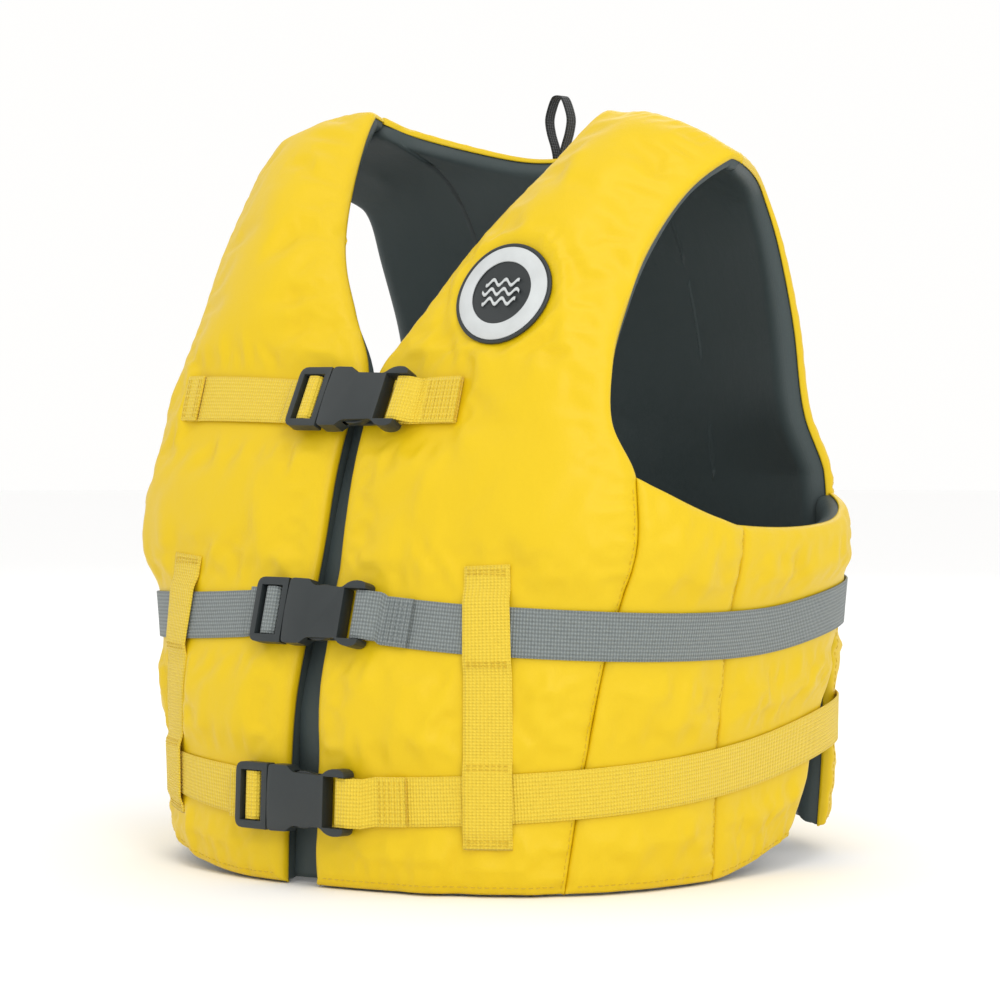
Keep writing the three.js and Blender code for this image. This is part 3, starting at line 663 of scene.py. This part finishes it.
def buildPanel(name, kind, surface, thickness, shares, sewn):
    # The shares say how round each edge is, and sewn how far in each edge's stitching runs.
    size = panelSizes[kind]
    s, t = [spaced(length, fabric["step"], fabric["inset"]) for length in size]
    points = surface(*np.meshgrid(s, t, indexing="ij"))
    normal = gridNormals(points)
    thick = thickness(points)
    height, press, free, edges, u, v = shapeHeights(points, thick, shares)
    lively = np.maximum(press * (1 - press) * 4, 0.1) * np.maximum(free, 0.3)
    folds = creases(points, normal, foldCounts[kind], fabric["crease"], lively)
    height += fabric["foldCap"] * np.tanh(folds / fabric["foldCap"]) * np.sqrt(1 - press)
    for distance, along, line in zip(edges, (v, v, u, u), sewn):
        near = np.exp(-((distance / fabric["puckerReach"]) ** 2)) * smooth(distance, 0, 4)
        tight = 1 - smooth(points[..., 2], *fabric["sewnTop"]) if along is v else np.ones(u.shape)
        tight = tight if line else 0 * tight
        share = fabric["freePucker"] + (1 - fabric["freePucker"]) * tight
        height += fabric["pucker"] * near * ripple(along) * (1 - press) * share
        groove = np.exp(-(((distance - line) / fabric["grooveWidth"]) ** 2))
        height -= fabric["groove"] * groove * (1 - 0.7 * press) * tight
    height += relaxedHeights(surface, size, thickness, shares, s, t) * (1 - press) * free
    cover = points + normal * height[..., None]
    addCover(name, cover, normal, thick, u, v, height)
    addLining(name, surface, size, thickness)
    addFoam(name, surface, size, thickness)
    print("panel", name)
    return {"cover": cover, "normal": normal, "edges": edges, "sewn": sewn}


def withSkirt(points, normal, depth, goal):
    # Adds two rows round the border that carry on down the edge to the goal depth.
    wide = np.pad(points, ((2, 2), (2, 2), (0, 0)), mode="edge")
    way = np.pad(normal, ((2, 2), (2, 2), (0, 0)), mode="edge")
    extra = np.pad(goal - depth, 2, mode="edge")
    share = np.ones(extra.shape)
    share[1:-1, 1:-1] = 0.5
    share[2:-2, 2:-2] = 0
    return wide - way * (extra * share)[..., None]


def addShell(name, points, u, v, material, flip):
    pad = ((2, 2), (2, 2))
    uv = np.stack([np.pad(u, pad, mode="edge"), np.pad(v, pad, mode="edge")], -1) * mm
    faces = gridFaces(*points.shape[:2])
    if flip:
        faces = faces[:, ::-1]
    piece = addMesh(name, toMetres(points), faces, material, uv)
    useModifier(piece, "SOLIDIFY", thickness=fabric["shell"] * mm, offset=-1)
    return piece


def addCover(name, cover, normal, thick, u, v, height):
    rim = withSkirt(cover, normal, -height, fabric["tuck"] * thick)
    piece = addShell(f"{name}Cover", rim, u, v, yellowNylon, False)
    finishPiece(piece, "vest", [f"{name}_cover"])


def addLining(name, surface, size, thickness):
    s, t = [spaced(length, fabric["step"] * 2, inner["liningInset"]) for length in size]
    points = surface(*np.meshgrid(s, t, indexing="ij"))
    normal = gridNormals(points)
    thick = thickness(points)
    u, v, edges = edgeDistances(points)
    drop, free = edgeShape(edges, thick)
    folds = creases(points, normal, foldCounts["lining"], inner["liningCrease"], np.maximum(free, 0.2))
    depth = thick - drop + inner["liningPuff"] * free + folds
    rim = withSkirt(points - normal * depth[..., None], normal, depth, fabric["hidden"] * thick)
    piece = addShell(f"{name}Lining", rim, u, v, darkNylon, True)
    finishPiece(piece, "vest", [f"{name}_lining"])


def addFoam(name, surface, size, thickness):
    # A slab with rounded edges, clear of the cover and the lining.
    s, t = [spaced(length, inner["foamStep"], inner["foamInset"]) for length in size]
    points = surface(*np.meshgrid(s, t, indexing="ij"))
    normal = gridNormals(points)
    thick = thickness(points)[..., None]
    _, _, edges = edgeDistances(points)
    soft = roundedDrop(np.minimum.reduce(edges), inner["foamRound"])[..., None]
    layers = [points - normal * (inner["foamGap"] + soft),
              points - normal * (thick - inner["foamBack"] - soft)]
    count = points[..., 0].size
    top = gridFaces(*points.shape[:2])
    index = np.arange(count).reshape(points.shape[:2])
    border = np.concatenate([index[:-1, 0], index[-1, :-1], index[:0:-1, -1], index[0, :0:-1]])
    turn = np.roll(border, -1)
    sides = np.stack([border, border + count, turn + count, turn], -1)
    faces = np.concatenate([top, top[:, ::-1] + count, sides])
    piece = addMesh(f"{name}Foam", toMetres(np.stack(layers)), faces, foamBlock)
    finishPiece(piece, "vest", [f"{name}_foam"])


def mirrored(surface):
    return lambda s, t: surface(1 - s, t) * np.array([-1, 1, 1])


def bodyThickness(points):
    share = smooth(points[..., 2], *pattern["thinning"])
    return pattern["bodyFoam"] + (pattern["shoulderFoam"] - pattern["bodyFoam"]) * share


def sideThickness(points):
    return np.full(points.shape[:2], float(pattern["sideFoam"]))


def frontSurface(s, t):
    # The front edge stands back from the middle, most at the hem.
    level = 1 + (pattern["seamLevel"] - 1) * t
    low, high = pattern["openHem"], pattern["openTop"]
    back = high + (low - high) * (1 - smooth(level, 0, pattern["openSpread"]))
    share = back * (1 - smooth(level, *pattern["openClose"])) / panelSizes["front"][0]
    return frontPoint(share + (1 - share) * s, level)


def seamTwo(level):
    return np.full(np.shape(level), pattern["seamTwo"])


def sideFrontSurface(s, t):
    def hem(s):
        return pattern["padHem"] + 0 * s
    return padPoint(lambda level: edgeAt(frontEdge, level), seamTwo, hem, s, t)


def sideRearSurface(s, t):
    def hem(s):
        return pattern["padHem"] + pattern["rearHemRise"] * np.maximum(s, 0) ** 1.5
    return padPoint(seamTwo, lambda level: edgeAt(rearEdge, level), hem, s, t)


def backColumn(s):
    # The back's columns, with even places along the neck hole's edge.
    neck, part = pattern["neckHalfWidth"] / strapRows[-1][2][0], pattern["neckShare"]
    x = 2 * s - 1
    inside = np.abs(x) < part
    bent = neck * np.sin(np.clip(x / part, -1, 1) * math.pi / 2)
    outside = np.sign(x) * (neck + (np.abs(x) - part) / (1 - part) * (1 - neck))
    return np.where(inside, bent, outside)


def backTop(s):
    # The level where the back's columns meet the neck hole, or the shoulder seam.
    low, high = np.full(s.shape, pattern["neckLow"]), np.full(s.shape, pattern["seamLevel"])
    depth = pattern["neckBack"] - pattern["shoulderSeam"]
    for _ in range(26):
        middle = (low + high) / 2
        place = backPoint(s, middle)
        inHole = ((place[..., 0] / pattern["neckHalfWidth"]) ** 2
                  + ((place[..., 1] - pattern["shoulderSeam"]) / depth) ** 2) < 1
        low, high = np.where(inHole, low, middle), np.where(inHole, middle, high)
    return (low + high) / 2


def backSurface(s, t):
    column = backColumn(1 - s)
    hem = pattern["backHem"]
    top = backTop(column[:, 0])[:, None] if column.ndim > 1 else backTop(column)
    return backPoint(column, hem + (top - hem) * t)


def buildPanels():
    full, seam = fabric["edgeShare"], fabric["seamShare"]
    line, hem = fabric["seamStitch"], fabric["hemStitch"]
    pad = (seam, seam, full, full)
    makings = [
        ("front_left", "front", frontSurface, bodyThickness, (full, seam, full, seam), (0, line, hem, 0)),
        ("front_right", "front", mirrored(frontSurface), bodyThickness, (seam, full, full, seam),
         (line, 0, hem, 0)),
        ("side_front_left", "sideFront", sideFrontSurface, sideThickness, pad, (0, line, hem, 0)),
        ("side_rear_left", "sideRear", sideRearSurface, sideThickness, pad, (0, 0, hem, 0)),
        ("side_front_right", "sideFront", mirrored(sideFrontSurface), sideThickness, pad, (line, 0, hem, 0)),
        ("side_rear_right", "sideRear", mirrored(sideRearSurface), sideThickness, pad, (0, 0, hem, 0)),
        ("back", "back", backSurface, bodyThickness, (full, full, full, seam), (hem, hem, hem, 0)),
    ]
    return [buildPanel(*making) for making in makings]


# A dark sheet just behind the front opening: painted shade that stands for the shadowed inside seen through
# the gap.
shadeSheet = {
    "low": 3, "high": 304, "left": 15, "right": 19, "depth": 15.5, "wall": 0.8, "bow": 0.004,
    "wave": 1.5, "waveLength": 17, "slant": 9, "sway": 1.2, "swayLength": 31,
}


def addOpeningShadeSheet():
    x, level = np.meshgrid(np.linspace(-shadeSheet["right"], shadeSheet["left"], 12),
                           np.linspace(shadeSheet["low"], shadeSheet["high"], 90), indexing="ij")
    points = frontPoint(0 * x, level)
    wave = shadeSheet["wave"] * np.sin(level / shadeSheet["waveLength"] + x / shadeSheet["slant"])
    points[..., 1] += shadeSheet["depth"] + wave + shadeSheet["bow"] * x**2
    points[..., 0] = x + shadeSheet["sway"] * np.sin(level / shadeSheet["swayLength"])
    uv = np.stack([x, level], -1) * mm
    # The dark lining finish on this sheet is painted shade for the inside of the vest, seen through the
    # opening.
    piece = addMesh("openingShadeSheet", toMetres(points), gridFaces(*x.shape), darkNylon, uv)
    useModifier(piece, "SOLIDIFY", thickness=shadeSheet["wall"] * mm, offset=-1)
    finishPiece(piece, "vest")


# Webbing.
webbing = {
    "half": 15, "thick": 1.4, "rest": 1.2, "layer": 0.4, "strapLift": 0.6, "foldLift": 0.3,
    "from": 18, "beltTail": 24, "strapTail": 27, "fold": (45, 51), "strapEnd": 52,  # degrees round
    "beltSewn": (17, 25), "strapSewn": (17, 28), "foldSewn": (44, 53),
}
lowLayer = webbing["rest"] + webbing["thick"] / 2
highLayer = lowLayer + webbing["thick"] + webbing["layer"]


def surfaceNormal(point, u, v, du, dv):
    return unit(np.cross(point(u + du, v) - point(u - du, v), point(u, v + dv) - point(u, v - dv)))


def bandOn(point, u, v, height, du, dv):
    # Stations of a band on a surface, through the places u and v.
    place = point(u, v)
    out = surfaceNormal(point, u, v, du, dv)
    run = np.gradient(place, axis=0)
    return place + out * np.asarray(height)[..., None], out, unit(np.cross(out, run))


def reversedBand(band):
    # The same stations with the band's other face up.
    return band[0], -band[1], band[2]


def upright(band, turned):
    # Keeps the upper side up on a band that runs back.
    return (band[0], band[1], -band[2]) if turned else band


def joinBands(*bands):
    return tuple(np.concatenate(parts) for parts in zip(*bands))


def bandInFrame(frame, route, step=0.7):
    # Stations in a buckle's frame, through points of along and height.
    route = np.array(route, float)
    length = lengthAlong(route)
    place = np.linspace(0, length[-1], max(int(length[-1] / step), 2) + 1)
    values = np.broadcast_to(route[:, None], (len(route), len(place), 2))
    flat = curveThrough(length, values, place)
    run = unit(np.gradient(flat, axis=0))
    out = run[:, :1] * frame["out"] - run[:, 1:] * frame["x"]
    points = frame["origin"] + flat[:, :1] * frame["x"] + flat[:, 1:] * frame["out"]
    return points, out, np.broadcast_to(frame["up"], points.shape)


def buckleFrame(level):
    # The flat frame of a buckle that lies over the front opening.
    x = np.array([1.0, 0, 0])
    step = frontPoint(0.14, level + 12) - frontPoint(0.14, level - 12)
    up = unit(step * np.array([0, 1, 1]))
    out = np.cross(x, up)
    origin = frontPoint(0, level) * np.array([0, 1, 1])
    half = buckleEdge["halfHeight"]
    s, w = np.meshgrid(np.linspace(0, 0.45, 7), np.linspace(-half, half, 5))
    origin = origin + out * ((frontPoint(s, level + w) - origin) @ out).max()
    return {"x": x, "up": up, "out": out, "origin": origin, "level": level}


def addBand(name, band, node, color, body="vest", half=webbing["half"], full=webbing["thick"], bend=0.0):
    thick = full / 2
    across = np.linspace(-1, 1, 9) * (half - 0.45)
    side = np.array([[thick * 0.6, half - 0.12], [0, half], [-thick * 0.6, half - 0.12]])
    section = np.concatenate([
        np.stack([np.full(9, thick), across], -1), side,
        np.stack([np.full(9, -thick), across[::-1]], -1), side[::-1] * [1, -1]])
    place, out, wide = band
    height, width = section[:, 0][None, :, None], section[:, 1][None, :, None]
    points = place[:, None] + out[:, None] * (height - bend * width**2) + wide[:, None] * width
    run = lengthAlong(place)
    uv = np.stack(np.broadcast_arrays(run[:, None], section[None, :, 1]), -1) * mm
    rows, columns = points.shape[:2]
    faces = gridFaces(rows, columns, True).tolist()
    faces += [list(range(columns)), list(range((rows - 1) * columns, rows * columns))[::-1]]
    solid = toMetres(points)
    piece = addMesh(name, solid, facedOut(solid, faces), webbingFinishes[color], uv)
    finishPiece(piece, body, [node])


def ringBand(levelAt, start, end, height, step=1.0):
    angle = np.linspace(start, end, int(abs(end - start) / step) + 1)
    return upright(bandOn(ring, angle, levelAt(angle), height, 1.0, 3.0), end < start)


def strapBand(start, end, height):
    level = buckles["chest"]["level"]
    angle = np.linspace(start, end, int(abs(end - start)) + 1)
    s = angle / edgeAt(frontEdge, np.array(level))
    band = bandOn(frontPoint, s, np.full(s.shape, level), height, 0.02, 4.0)
    return upright(band, end < start)


def mirrorBand(band):
    flip = np.array([-1, 1, 1])
    return tuple(part * flip for part in band)


def socketTurn(frame):
    # Over the socket's bar and back under it.
    turn, over, under = 37.4, 8.5, 3.1
    return bandInFrame(frame, [
        (54, highLayer + 0.6), (50, over - 2.2), (46, over - 0.4), (40.7, over), (turn + 0.6, over - 0.2),
        (turn - 0.1, over - 1.1), (turn - 0.1, under + 1.1), (turn + 0.6, under + 0.2), (40.7, under),
        (46, under), (50, under - 0.7), (54, lowLayer + 0.3)])


def evenBand(band, step=1.5):
    # Resamples stations to even steps on a smooth curve.
    length = lengthAlong(band[0])
    keep = np.concatenate([[True], np.diff(length) > 1e-3])
    length = length[keep]
    at = np.linspace(0, length[-1], int(length[-1] / step) + 1)
    parts = []
    for part in band:
        part = part[keep]
        values = np.broadcast_to(part[:, None], (len(part), len(at), 3))
        parts.append(curveThrough(length, values, at))
    return parts[0], unit(parts[1]), unit(parts[2])


def addBelts():
    start, lift = webbing["from"], webbing["strapLift"]
    tail = [(-40, lowLayer), (-20, lowLayer)]
    for name, levelAt in (("waist", waistAt), ("lower", lowerAt)):
        frame = buckles[name]["frame"]
        outer = reversedBand(ringBand(levelAt, webbing["beltTail"], start, highLayer))
        belt = joinBands(outer, socketTurn(frame), ringBand(levelAt, start, 360 - start, lowLayer),
                         bandInFrame(frame, tail, 4))
        addBand(f"{name}Belt", evenBand(belt), f"{name}_belt", buckles[name]["color"])
    frame = buckles["chest"]["frame"]
    end = webbing["strapTail"]
    left = joinBands(reversedBand(strapBand(end, start, highLayer + lift)), socketTurn(frame),
                     strapBand(start, end, lowLayer + lift))
    addBand("chestStrapLeft", evenBand(left), "chest_strap_left", "yellow")
    fold = mirrorBand(strapBand(*webbing["fold"], highLayer + lift + webbing["foldLift"]))
    right = joinBands(reversedBand(fold), mirrorBand(strapBand(webbing["strapEnd"], start, lowLayer + lift)),
                      bandInFrame(frame, tail, 4))
    addBand("chestStrapRight", evenBand(right), "chest_strap_right", "yellow")


keepers = {
    "angles": {"front_left": 38, "front_right": -38, "back_left": 142, "back_right": -142},
    "bottom": 29, "top": 199, "clear": 17, "ramp": 27, "bend": 0.0025,
}


def keeperLift(angle, level):
    height = np.zeros(level.shape)
    for belt in (waistAt(angle), lowerAt(angle)):
        height = np.maximum(height, 1 - smooth(np.abs(level - belt), keepers["clear"], keepers["ramp"]))
    flat = webbing["rest"]
    return flat + webbing["thick"] / 2 + height * (webbing["thick"] + 3 * webbing["layer"])


def addKeepers():
    for name, angle in keepers["angles"].items():
        level = np.linspace(keepers["bottom"], keepers["top"], 70)
        around = np.full(level.shape, float(angle))
        band = bandOn(ring, around, level, keeperLift(angle, level), 1.0, 3.0)
        side = ring(around + 1, level) - ring(around - 1, level)
        along = unit(np.gradient(band[0], axis=0))
        out = unit(np.cross(side, along))
        band = band[0], out, unit(np.cross(along, out))
        title = "keeper" + name.title().replace("_", "")
        addBand(title, band, f"keeper_{name}", "yellow", bend=keepers["bend"])


# Stitches.
thread = {"length": 3.0, "pitch": 4.4, "shortPitch": 3.6, "radius": 0.38, "rise": 0.12, "across": 13.2}
stitchShape = np.array([[-0.5, 0.0], [-0.36, 0.85], [0, 1.0], [0.36, 0.85], [0.5, 0.0]])


def stitchRow(line, out, pitch=None):
    # Even places along a line, with their directions.
    length = lengthAlong(line)
    count = int(length[-1] / (pitch or thread["pitch"]))
    at = (np.arange(count) + 0.5) * length[-1] / max(count, 1)
    place = np.stack([np.interp(at, length, line[:, k]) for k in range(3)], -1)
    up = np.stack([np.interp(at, length, out[:, k]) for k in range(3)], -1)
    run = np.stack([np.interp(at + 0.5, length, line[:, k]) for k in range(3)], -1) - place
    return place, unit(run), unit(up)


def addStitches(name, rows, material, sides=6):
    turn = np.arange(sides) * 2 * math.pi / sides
    share, size = stitchShape[:, :1], stitchShape[:, 1:]
    along = share * thread["length"] + 0 * turn
    rise = size * np.sin(turn) * thread["radius"] + thread["rise"]
    wide = size * np.cos(turn) * thread["radius"]
    place, run, up = [np.concatenate(part) for part in zip(*rows)]
    across = unit(np.cross(up, run))
    points = (place[:, None, None] + run[:, None, None] * along[..., None]
              + up[:, None, None] * rise[..., None] + across[:, None, None] * wide[..., None])
    one = gridFaces(len(stitchShape), sides, True)
    faces = (one[None] + np.arange(len(place))[:, None, None] * len(stitchShape) * sides).reshape(-1, 4)
    solid = toMetres(points)
    first = solid.reshape(len(place), -1, 3)[0]
    if signedVolume(first, one.tolist()) < 0:
        faces = faces[:, ::-1]
    piece = addMesh(name, solid, faces, material)
    mergeDoubles(piece)
    finishPiece(piece, "vest")


def panelRow(panel, edge, inset):
    # The line on a cover at a distance from one of its edges.
    distance = panel["edges"][edge]
    cover, normal = panel["cover"], panel["normal"]
    if edge > 1:
        cover, normal, distance = cover.transpose(1, 0, 2), normal.transpose(1, 0, 2), distance.T
    order = 1 if edge % 2 == 0 else -1
    lines = []
    for field in (cover, normal):
        line = [[np.interp(inset, distance[::order, j], field[::order, j, k]) for k in range(3)]
                for j in range(field.shape[1])]
        lines.append(np.array(line))
    other = panel["edges"][0 if edge > 1 else 2]
    run = other[:, 0] if edge > 1 else other[0]
    inside = (run > inset - 0.5) & (run < run[-1] - inset + 0.5)
    if edge < 2:
        inside &= lines[0][:, 2] < pattern["armpit"] - 6
    return lines[0][inside], lines[1][inside]


def addPanelStitches(panels):
    rows = []
    for panel in panels:
        for edge, inset in enumerate(panel["sewn"]):
            if inset:
                line, out = panelRow(panel, edge, inset)
                rows.append(stitchRow(line, out))
    addStitches("panelStitches", rows, yellowThread)


def acrossBand(band, at, spread, count=2):
    # Short rows of stitching across a band at one of its stations.
    place, out, wide = band
    rows = []
    for k in range(count):
        shift = unit(place[at + 1] - place[at - 1]) * (k - (count - 1) / 2) * spread
        reach = np.linspace(-thread["across"], thread["across"], 8)
        line = place[at] + shift + wide[at] * reach[:, None] + out[at] * webbing["thick"] / 2
        rows.append(stitchRow(line, np.broadcast_to(out[at], line.shape), thread["shortPitch"]))
    return rows


def addWebbingStitches():
    rows = {"yellow": [], "grey": []}
    for angle in keepers["angles"].values():
        for level in (keepers["bottom"] + 4, keepers["top"] - 4,
                      float(lowerAt(angle)) + 20, float(waistAt(angle)) - 20):
            z = np.array([level - 1, level, level + 1])
            around = np.full(3, float(angle))
            place, out, _ = bandOn(ring, around, z, keeperLift(angle, z), 1.0, 3.0)
            wide = unit(ring(around + 1, z) - ring(around - 1, z))
            rows["yellow"] += acrossBand((place, out, wide), 1, 2.4)
    strapHeight = highLayer + webbing["strapLift"]
    for color, band in (("grey", ringBand(waistAt, *webbing["beltSewn"], highLayer)),
                        ("yellow", ringBand(lowerAt, *webbing["beltSewn"], highLayer)),
                        ("yellow", strapBand(*webbing["strapSewn"], strapHeight))):
        for at in range(2, len(band[0]) - 1):
            rows[color] += acrossBand(band, at, 2.0, 1)
    end = mirrorBand(strapBand(*webbing["foldSewn"], strapHeight + webbing["foldLift"]))
    for at in (2, 6):
        rows["yellow"] += acrossBand(end, at, 2.4)
    addStitches("webbingStitches", rows["yellow"], yellowThread)
    addStitches("waistStitches", rows["grey"], greyThread)


# Buckles.
buckles = {
    "chest": {"level": 295.0, "color": "yellow"}, "waist": {"level": 166.0, "color": "grey"},
    "lower": {"level": 54.0, "color": "yellow"},
}
buckleEdge = {"width": 0.55, "segments": 3, "angle": 28, "shade": 35, "flat": 1.5, "halfHeight": 20.5}
insertRoute = [  # along and height, round the insert's bar
    (-52, 3.7), (-45, 3.7), (-39.5, 3.8), (-36.6, 4.6), (-35.2, 7.2), (-33.4, 8.9), (-31, 9.1),
    (-29, 9.1), (-27, 8.7), (-25.4, 7.4), (-24.3, 5), (-24, 3.4)]


def addBucklePiece(node, name, body):
    # A finer copy of a moulded piece, with its edges eased.
    source = frame["nodes"][node]
    piece = linkNew(name, source.data.copy())
    piece.data.transform(source.matrix_world)
    piece.data.materials.clear()
    piece.data.materials.append(buckleBlack)
    mergeDoubles(piece, 2e-6, buckleEdge["flat"])
    useModifier(piece, "BEVEL", width=buckleEdge["width"] * mm, segments=buckleEdge["segments"],
                limit_method="ANGLE", angle_limit=math.radians(buckleEdge["angle"]))
    selectOnly(piece)
    bpy.ops.object.shade_smooth_by_angle(angle=math.radians(buckleEdge["shade"]))
    piece.select_set(False)
    finishPiece(piece, body, [node])


def addBuckles():
    for name, values in buckles.items():
        for node, title, body in (
                ("socket", "Socket", "vest"), ("insert", "Insert", f"{name}_insert_body"),
                ("latch_upper", "LatchUpper", f"{name}_upper_latch"),
                ("latch_lower", "LatchLower", f"{name}_lower_latch")):
            addBucklePiece(f"{name}_{node}", name + title, body)
        band = evenBand(bandInFrame(values["frame"], insertRoute), 0.8)
        node, body = f"{name}_insert_webbing", f"{name}_insert_body"
        addBand(f"{name}InsertWebbing", band, node, values["color"], body)


# Badge and hanging loop.
badge = {"s": 0.46, "level": 362, "radius": 33.0, "rise": 1.25, "thick": 2.0}
waves = {"reach": 13, "apart": 6.2, "swing": 1.9, "turns": 0.72, "points": 60}
loopShape = [(2, -14), (2.4, 4), (4, 12), (7.5, 22), (9, 31), (7, 39), (3.4, 46)]  # half, across and up


def badgeSpot(x, y, height):
    # Point over the badge's place, x across and y up in the plane that touches the chest there.
    x, y = np.broadcast_arrays(np.asarray(x, float), np.asarray(y, float))
    s0, t0 = np.array(badge["s"]), np.array(float(badge["level"]))
    across = (frontPoint(s0 + 0.1, t0) - frontPoint(s0 - 0.1, t0)) / 0.2
    up = (frontPoint(s0, t0 + 20) - frontPoint(s0, t0 - 20)) / 40
    out = unit(np.cross(across, up))
    level = unit(np.cross(np.array([0, 0, 1.0]), out))
    axes = np.stack([level, np.cross(out, level)])
    turn = np.linalg.inv(axes @ np.stack([across, up], -1))
    s, t, middle = s0 + 0 * x, t0 + 0 * x, frontPoint(s0, t0)
    for _ in range(6):
        off = frontPoint(s, t) - middle
        missX, missY = x - off @ axes[0], y - off @ axes[1]
        s = s + turn[0, 0] * missX + turn[0, 1] * missY
        t = t + turn[1, 0] * missX + turn[1, 1] * missY
    return frontPoint(s, t) + surfaceNormal(frontPoint, s, t, 0.02, 4.0) * np.asarray(height)[..., None]


def addLathed(name, profile, material, nodes=(), segments=96):
    # A disc turned about the badge's middle, from points of radius and height.
    turn = np.arange(segments) * 2 * math.pi / segments
    radius, height = np.array(profile, float).T
    points = badgeSpot(radius[:, None] * np.cos(turn), radius[:, None] * np.sin(turn),
                       height[:, None] + 0 * turn)
    faces = gridFaces(*points.shape[:2], True).tolist()
    solid = toMetres(points)
    piece = addMesh(name, solid, facedOut(solid, faces), material)
    mergeDoubles(piece)
    finishPiece(piece, "vest", nodes)


def addBadge():
    low, top, r = badge["rise"], badge["rise"] + badge["thick"], badge["radius"]
    addLathed("badgeBase", [
        (0, low), (r - 0.8, low), (r, low + 0.6), (r, top - 0.2), (r - 0.5, top + 0.4), (r - 1.6, top + 0.4),
        (r - 2.2, top - 0.1), (r - 2.4, top - 0.5), (0, top - 0.5)], badgeDark, ["badge"])
    addLathed("badgeRing", [
        (r - 2.6, top - 0.7), (r - 2.6, top + 0.05), (r - 3.0, top + 0.25), (r - 12.2, top + 0.25),
        (r - 12.6, top + 0.05), (r - 12.6, top - 0.7), (r - 2.6, top - 0.7)], badgeLight)


def addBadgeWaves():
    # Three plain wave lines in the middle.
    top, points, faces = badge["rise"] + badge["thick"] - 0.5, [], []
    section = [(-1.25, -0.2), (-1.0, 0.5), (0, 0.65), (1.0, 0.5), (1.25, -0.2), (0, -0.3)]
    sides, length = len(section), waves["points"]
    for row in (-1, 0, 1):
        x = np.linspace(-waves["reach"], waves["reach"], length) * (1 - 0.12 * abs(row))
        middle = waves["apart"] * row + waves["swing"] * np.sin(x * waves["turns"])
        band = np.stack([badgeSpot(x, middle + side, top + high + 0 * x) for side, high in section], 1)
        start, end = sides * length * len(points), sides * length * (len(points) + 1)
        faces += (gridFaces(length, sides, True) + start).tolist()
        faces += [list(range(start, start + sides)), list(range(end - sides, end))[::-1]]
        points.append(band)
    solid = toMetres(np.stack(points))
    piece = addMesh("badgeWaves", solid, facedOut(solid, faces), badgeLight)
    finishPiece(piece, "vest")


def addHangLoop():
    seatZ = float(backPoint(np.array(0.0), np.array(455.0))[2])
    seat = np.array([0, pattern["neckBack"] + 6, seatZ])
    route = [(-x, z) for x, z in loopShape] + [(0, 47)] + loopShape[::-1]
    loop = {"origin": seat, "x": np.array([1.0, 0, 0]), "out": np.array([0, 0, 1.0]),
            "up": np.array([0, 1.0, 0])}
    band = bandInFrame(loop, route, 1.0)
    addBand("hangLoop", band, "hang_loop", "black", half=5, full=1.2)


# Finishes.
yellowNylon = nylon("yellowNylon", (0.69, 0.46, 0.002), (0.755, 0.53, 0.006), 0.44, 0.25)
darkNylon = nylon("darkNylon", (0.042, 0.058, 0.059), (0.06, 0.079, 0.08), 0.5, 0.35)
webbingFinishes = {
    "yellow": webbingFinish("yellowWebbing", (0.68, 0.45, 0.016), (0.86, 0.645, 0.055)),
    "grey": webbingFinish("greyWebbing", (0.085, 0.10, 0.10), (0.30, 0.335, 0.33)),
    "black": webbingFinish("blackWebbing", (0.006, 0.008, 0.009), (0.03, 0.034, 0.036)),
}
yellowThread = webbingFinish("yellowThread", (0.58, 0.38, 0.008), (0.76, 0.54, 0.03))
greyThread = webbingFinish("greyThread", (0.10, 0.12, 0.12), (0.22, 0.25, 0.25))
buckleBlack = plasticFinish("buckleBlack", (0.012, 0.017, 0.018), 0.42)
badgeDark = plasticFinish("badgeDark", (0.014, 0.018, 0.019), 0.5)
badgeLight = plasticFinish("badgeLight", (0.46, 0.48, 0.48), 0.5)
foamBlock = foamFinish()

for values in buckles.values():
    values["frame"] = buckleFrame(values["level"])
addCamera()
addStudio()
print("studio and finishes ready")
panels = buildPanels()
addPanelStitches(panels)
addOpeningShadeSheet()
addBelts()
addKeepers()
addWebbingStitches()
print("webbing and stitches made")
addBuckles()
addBadge()
addBadgeWaves()
addHangLoop()
print("buckles, badge and loop made")
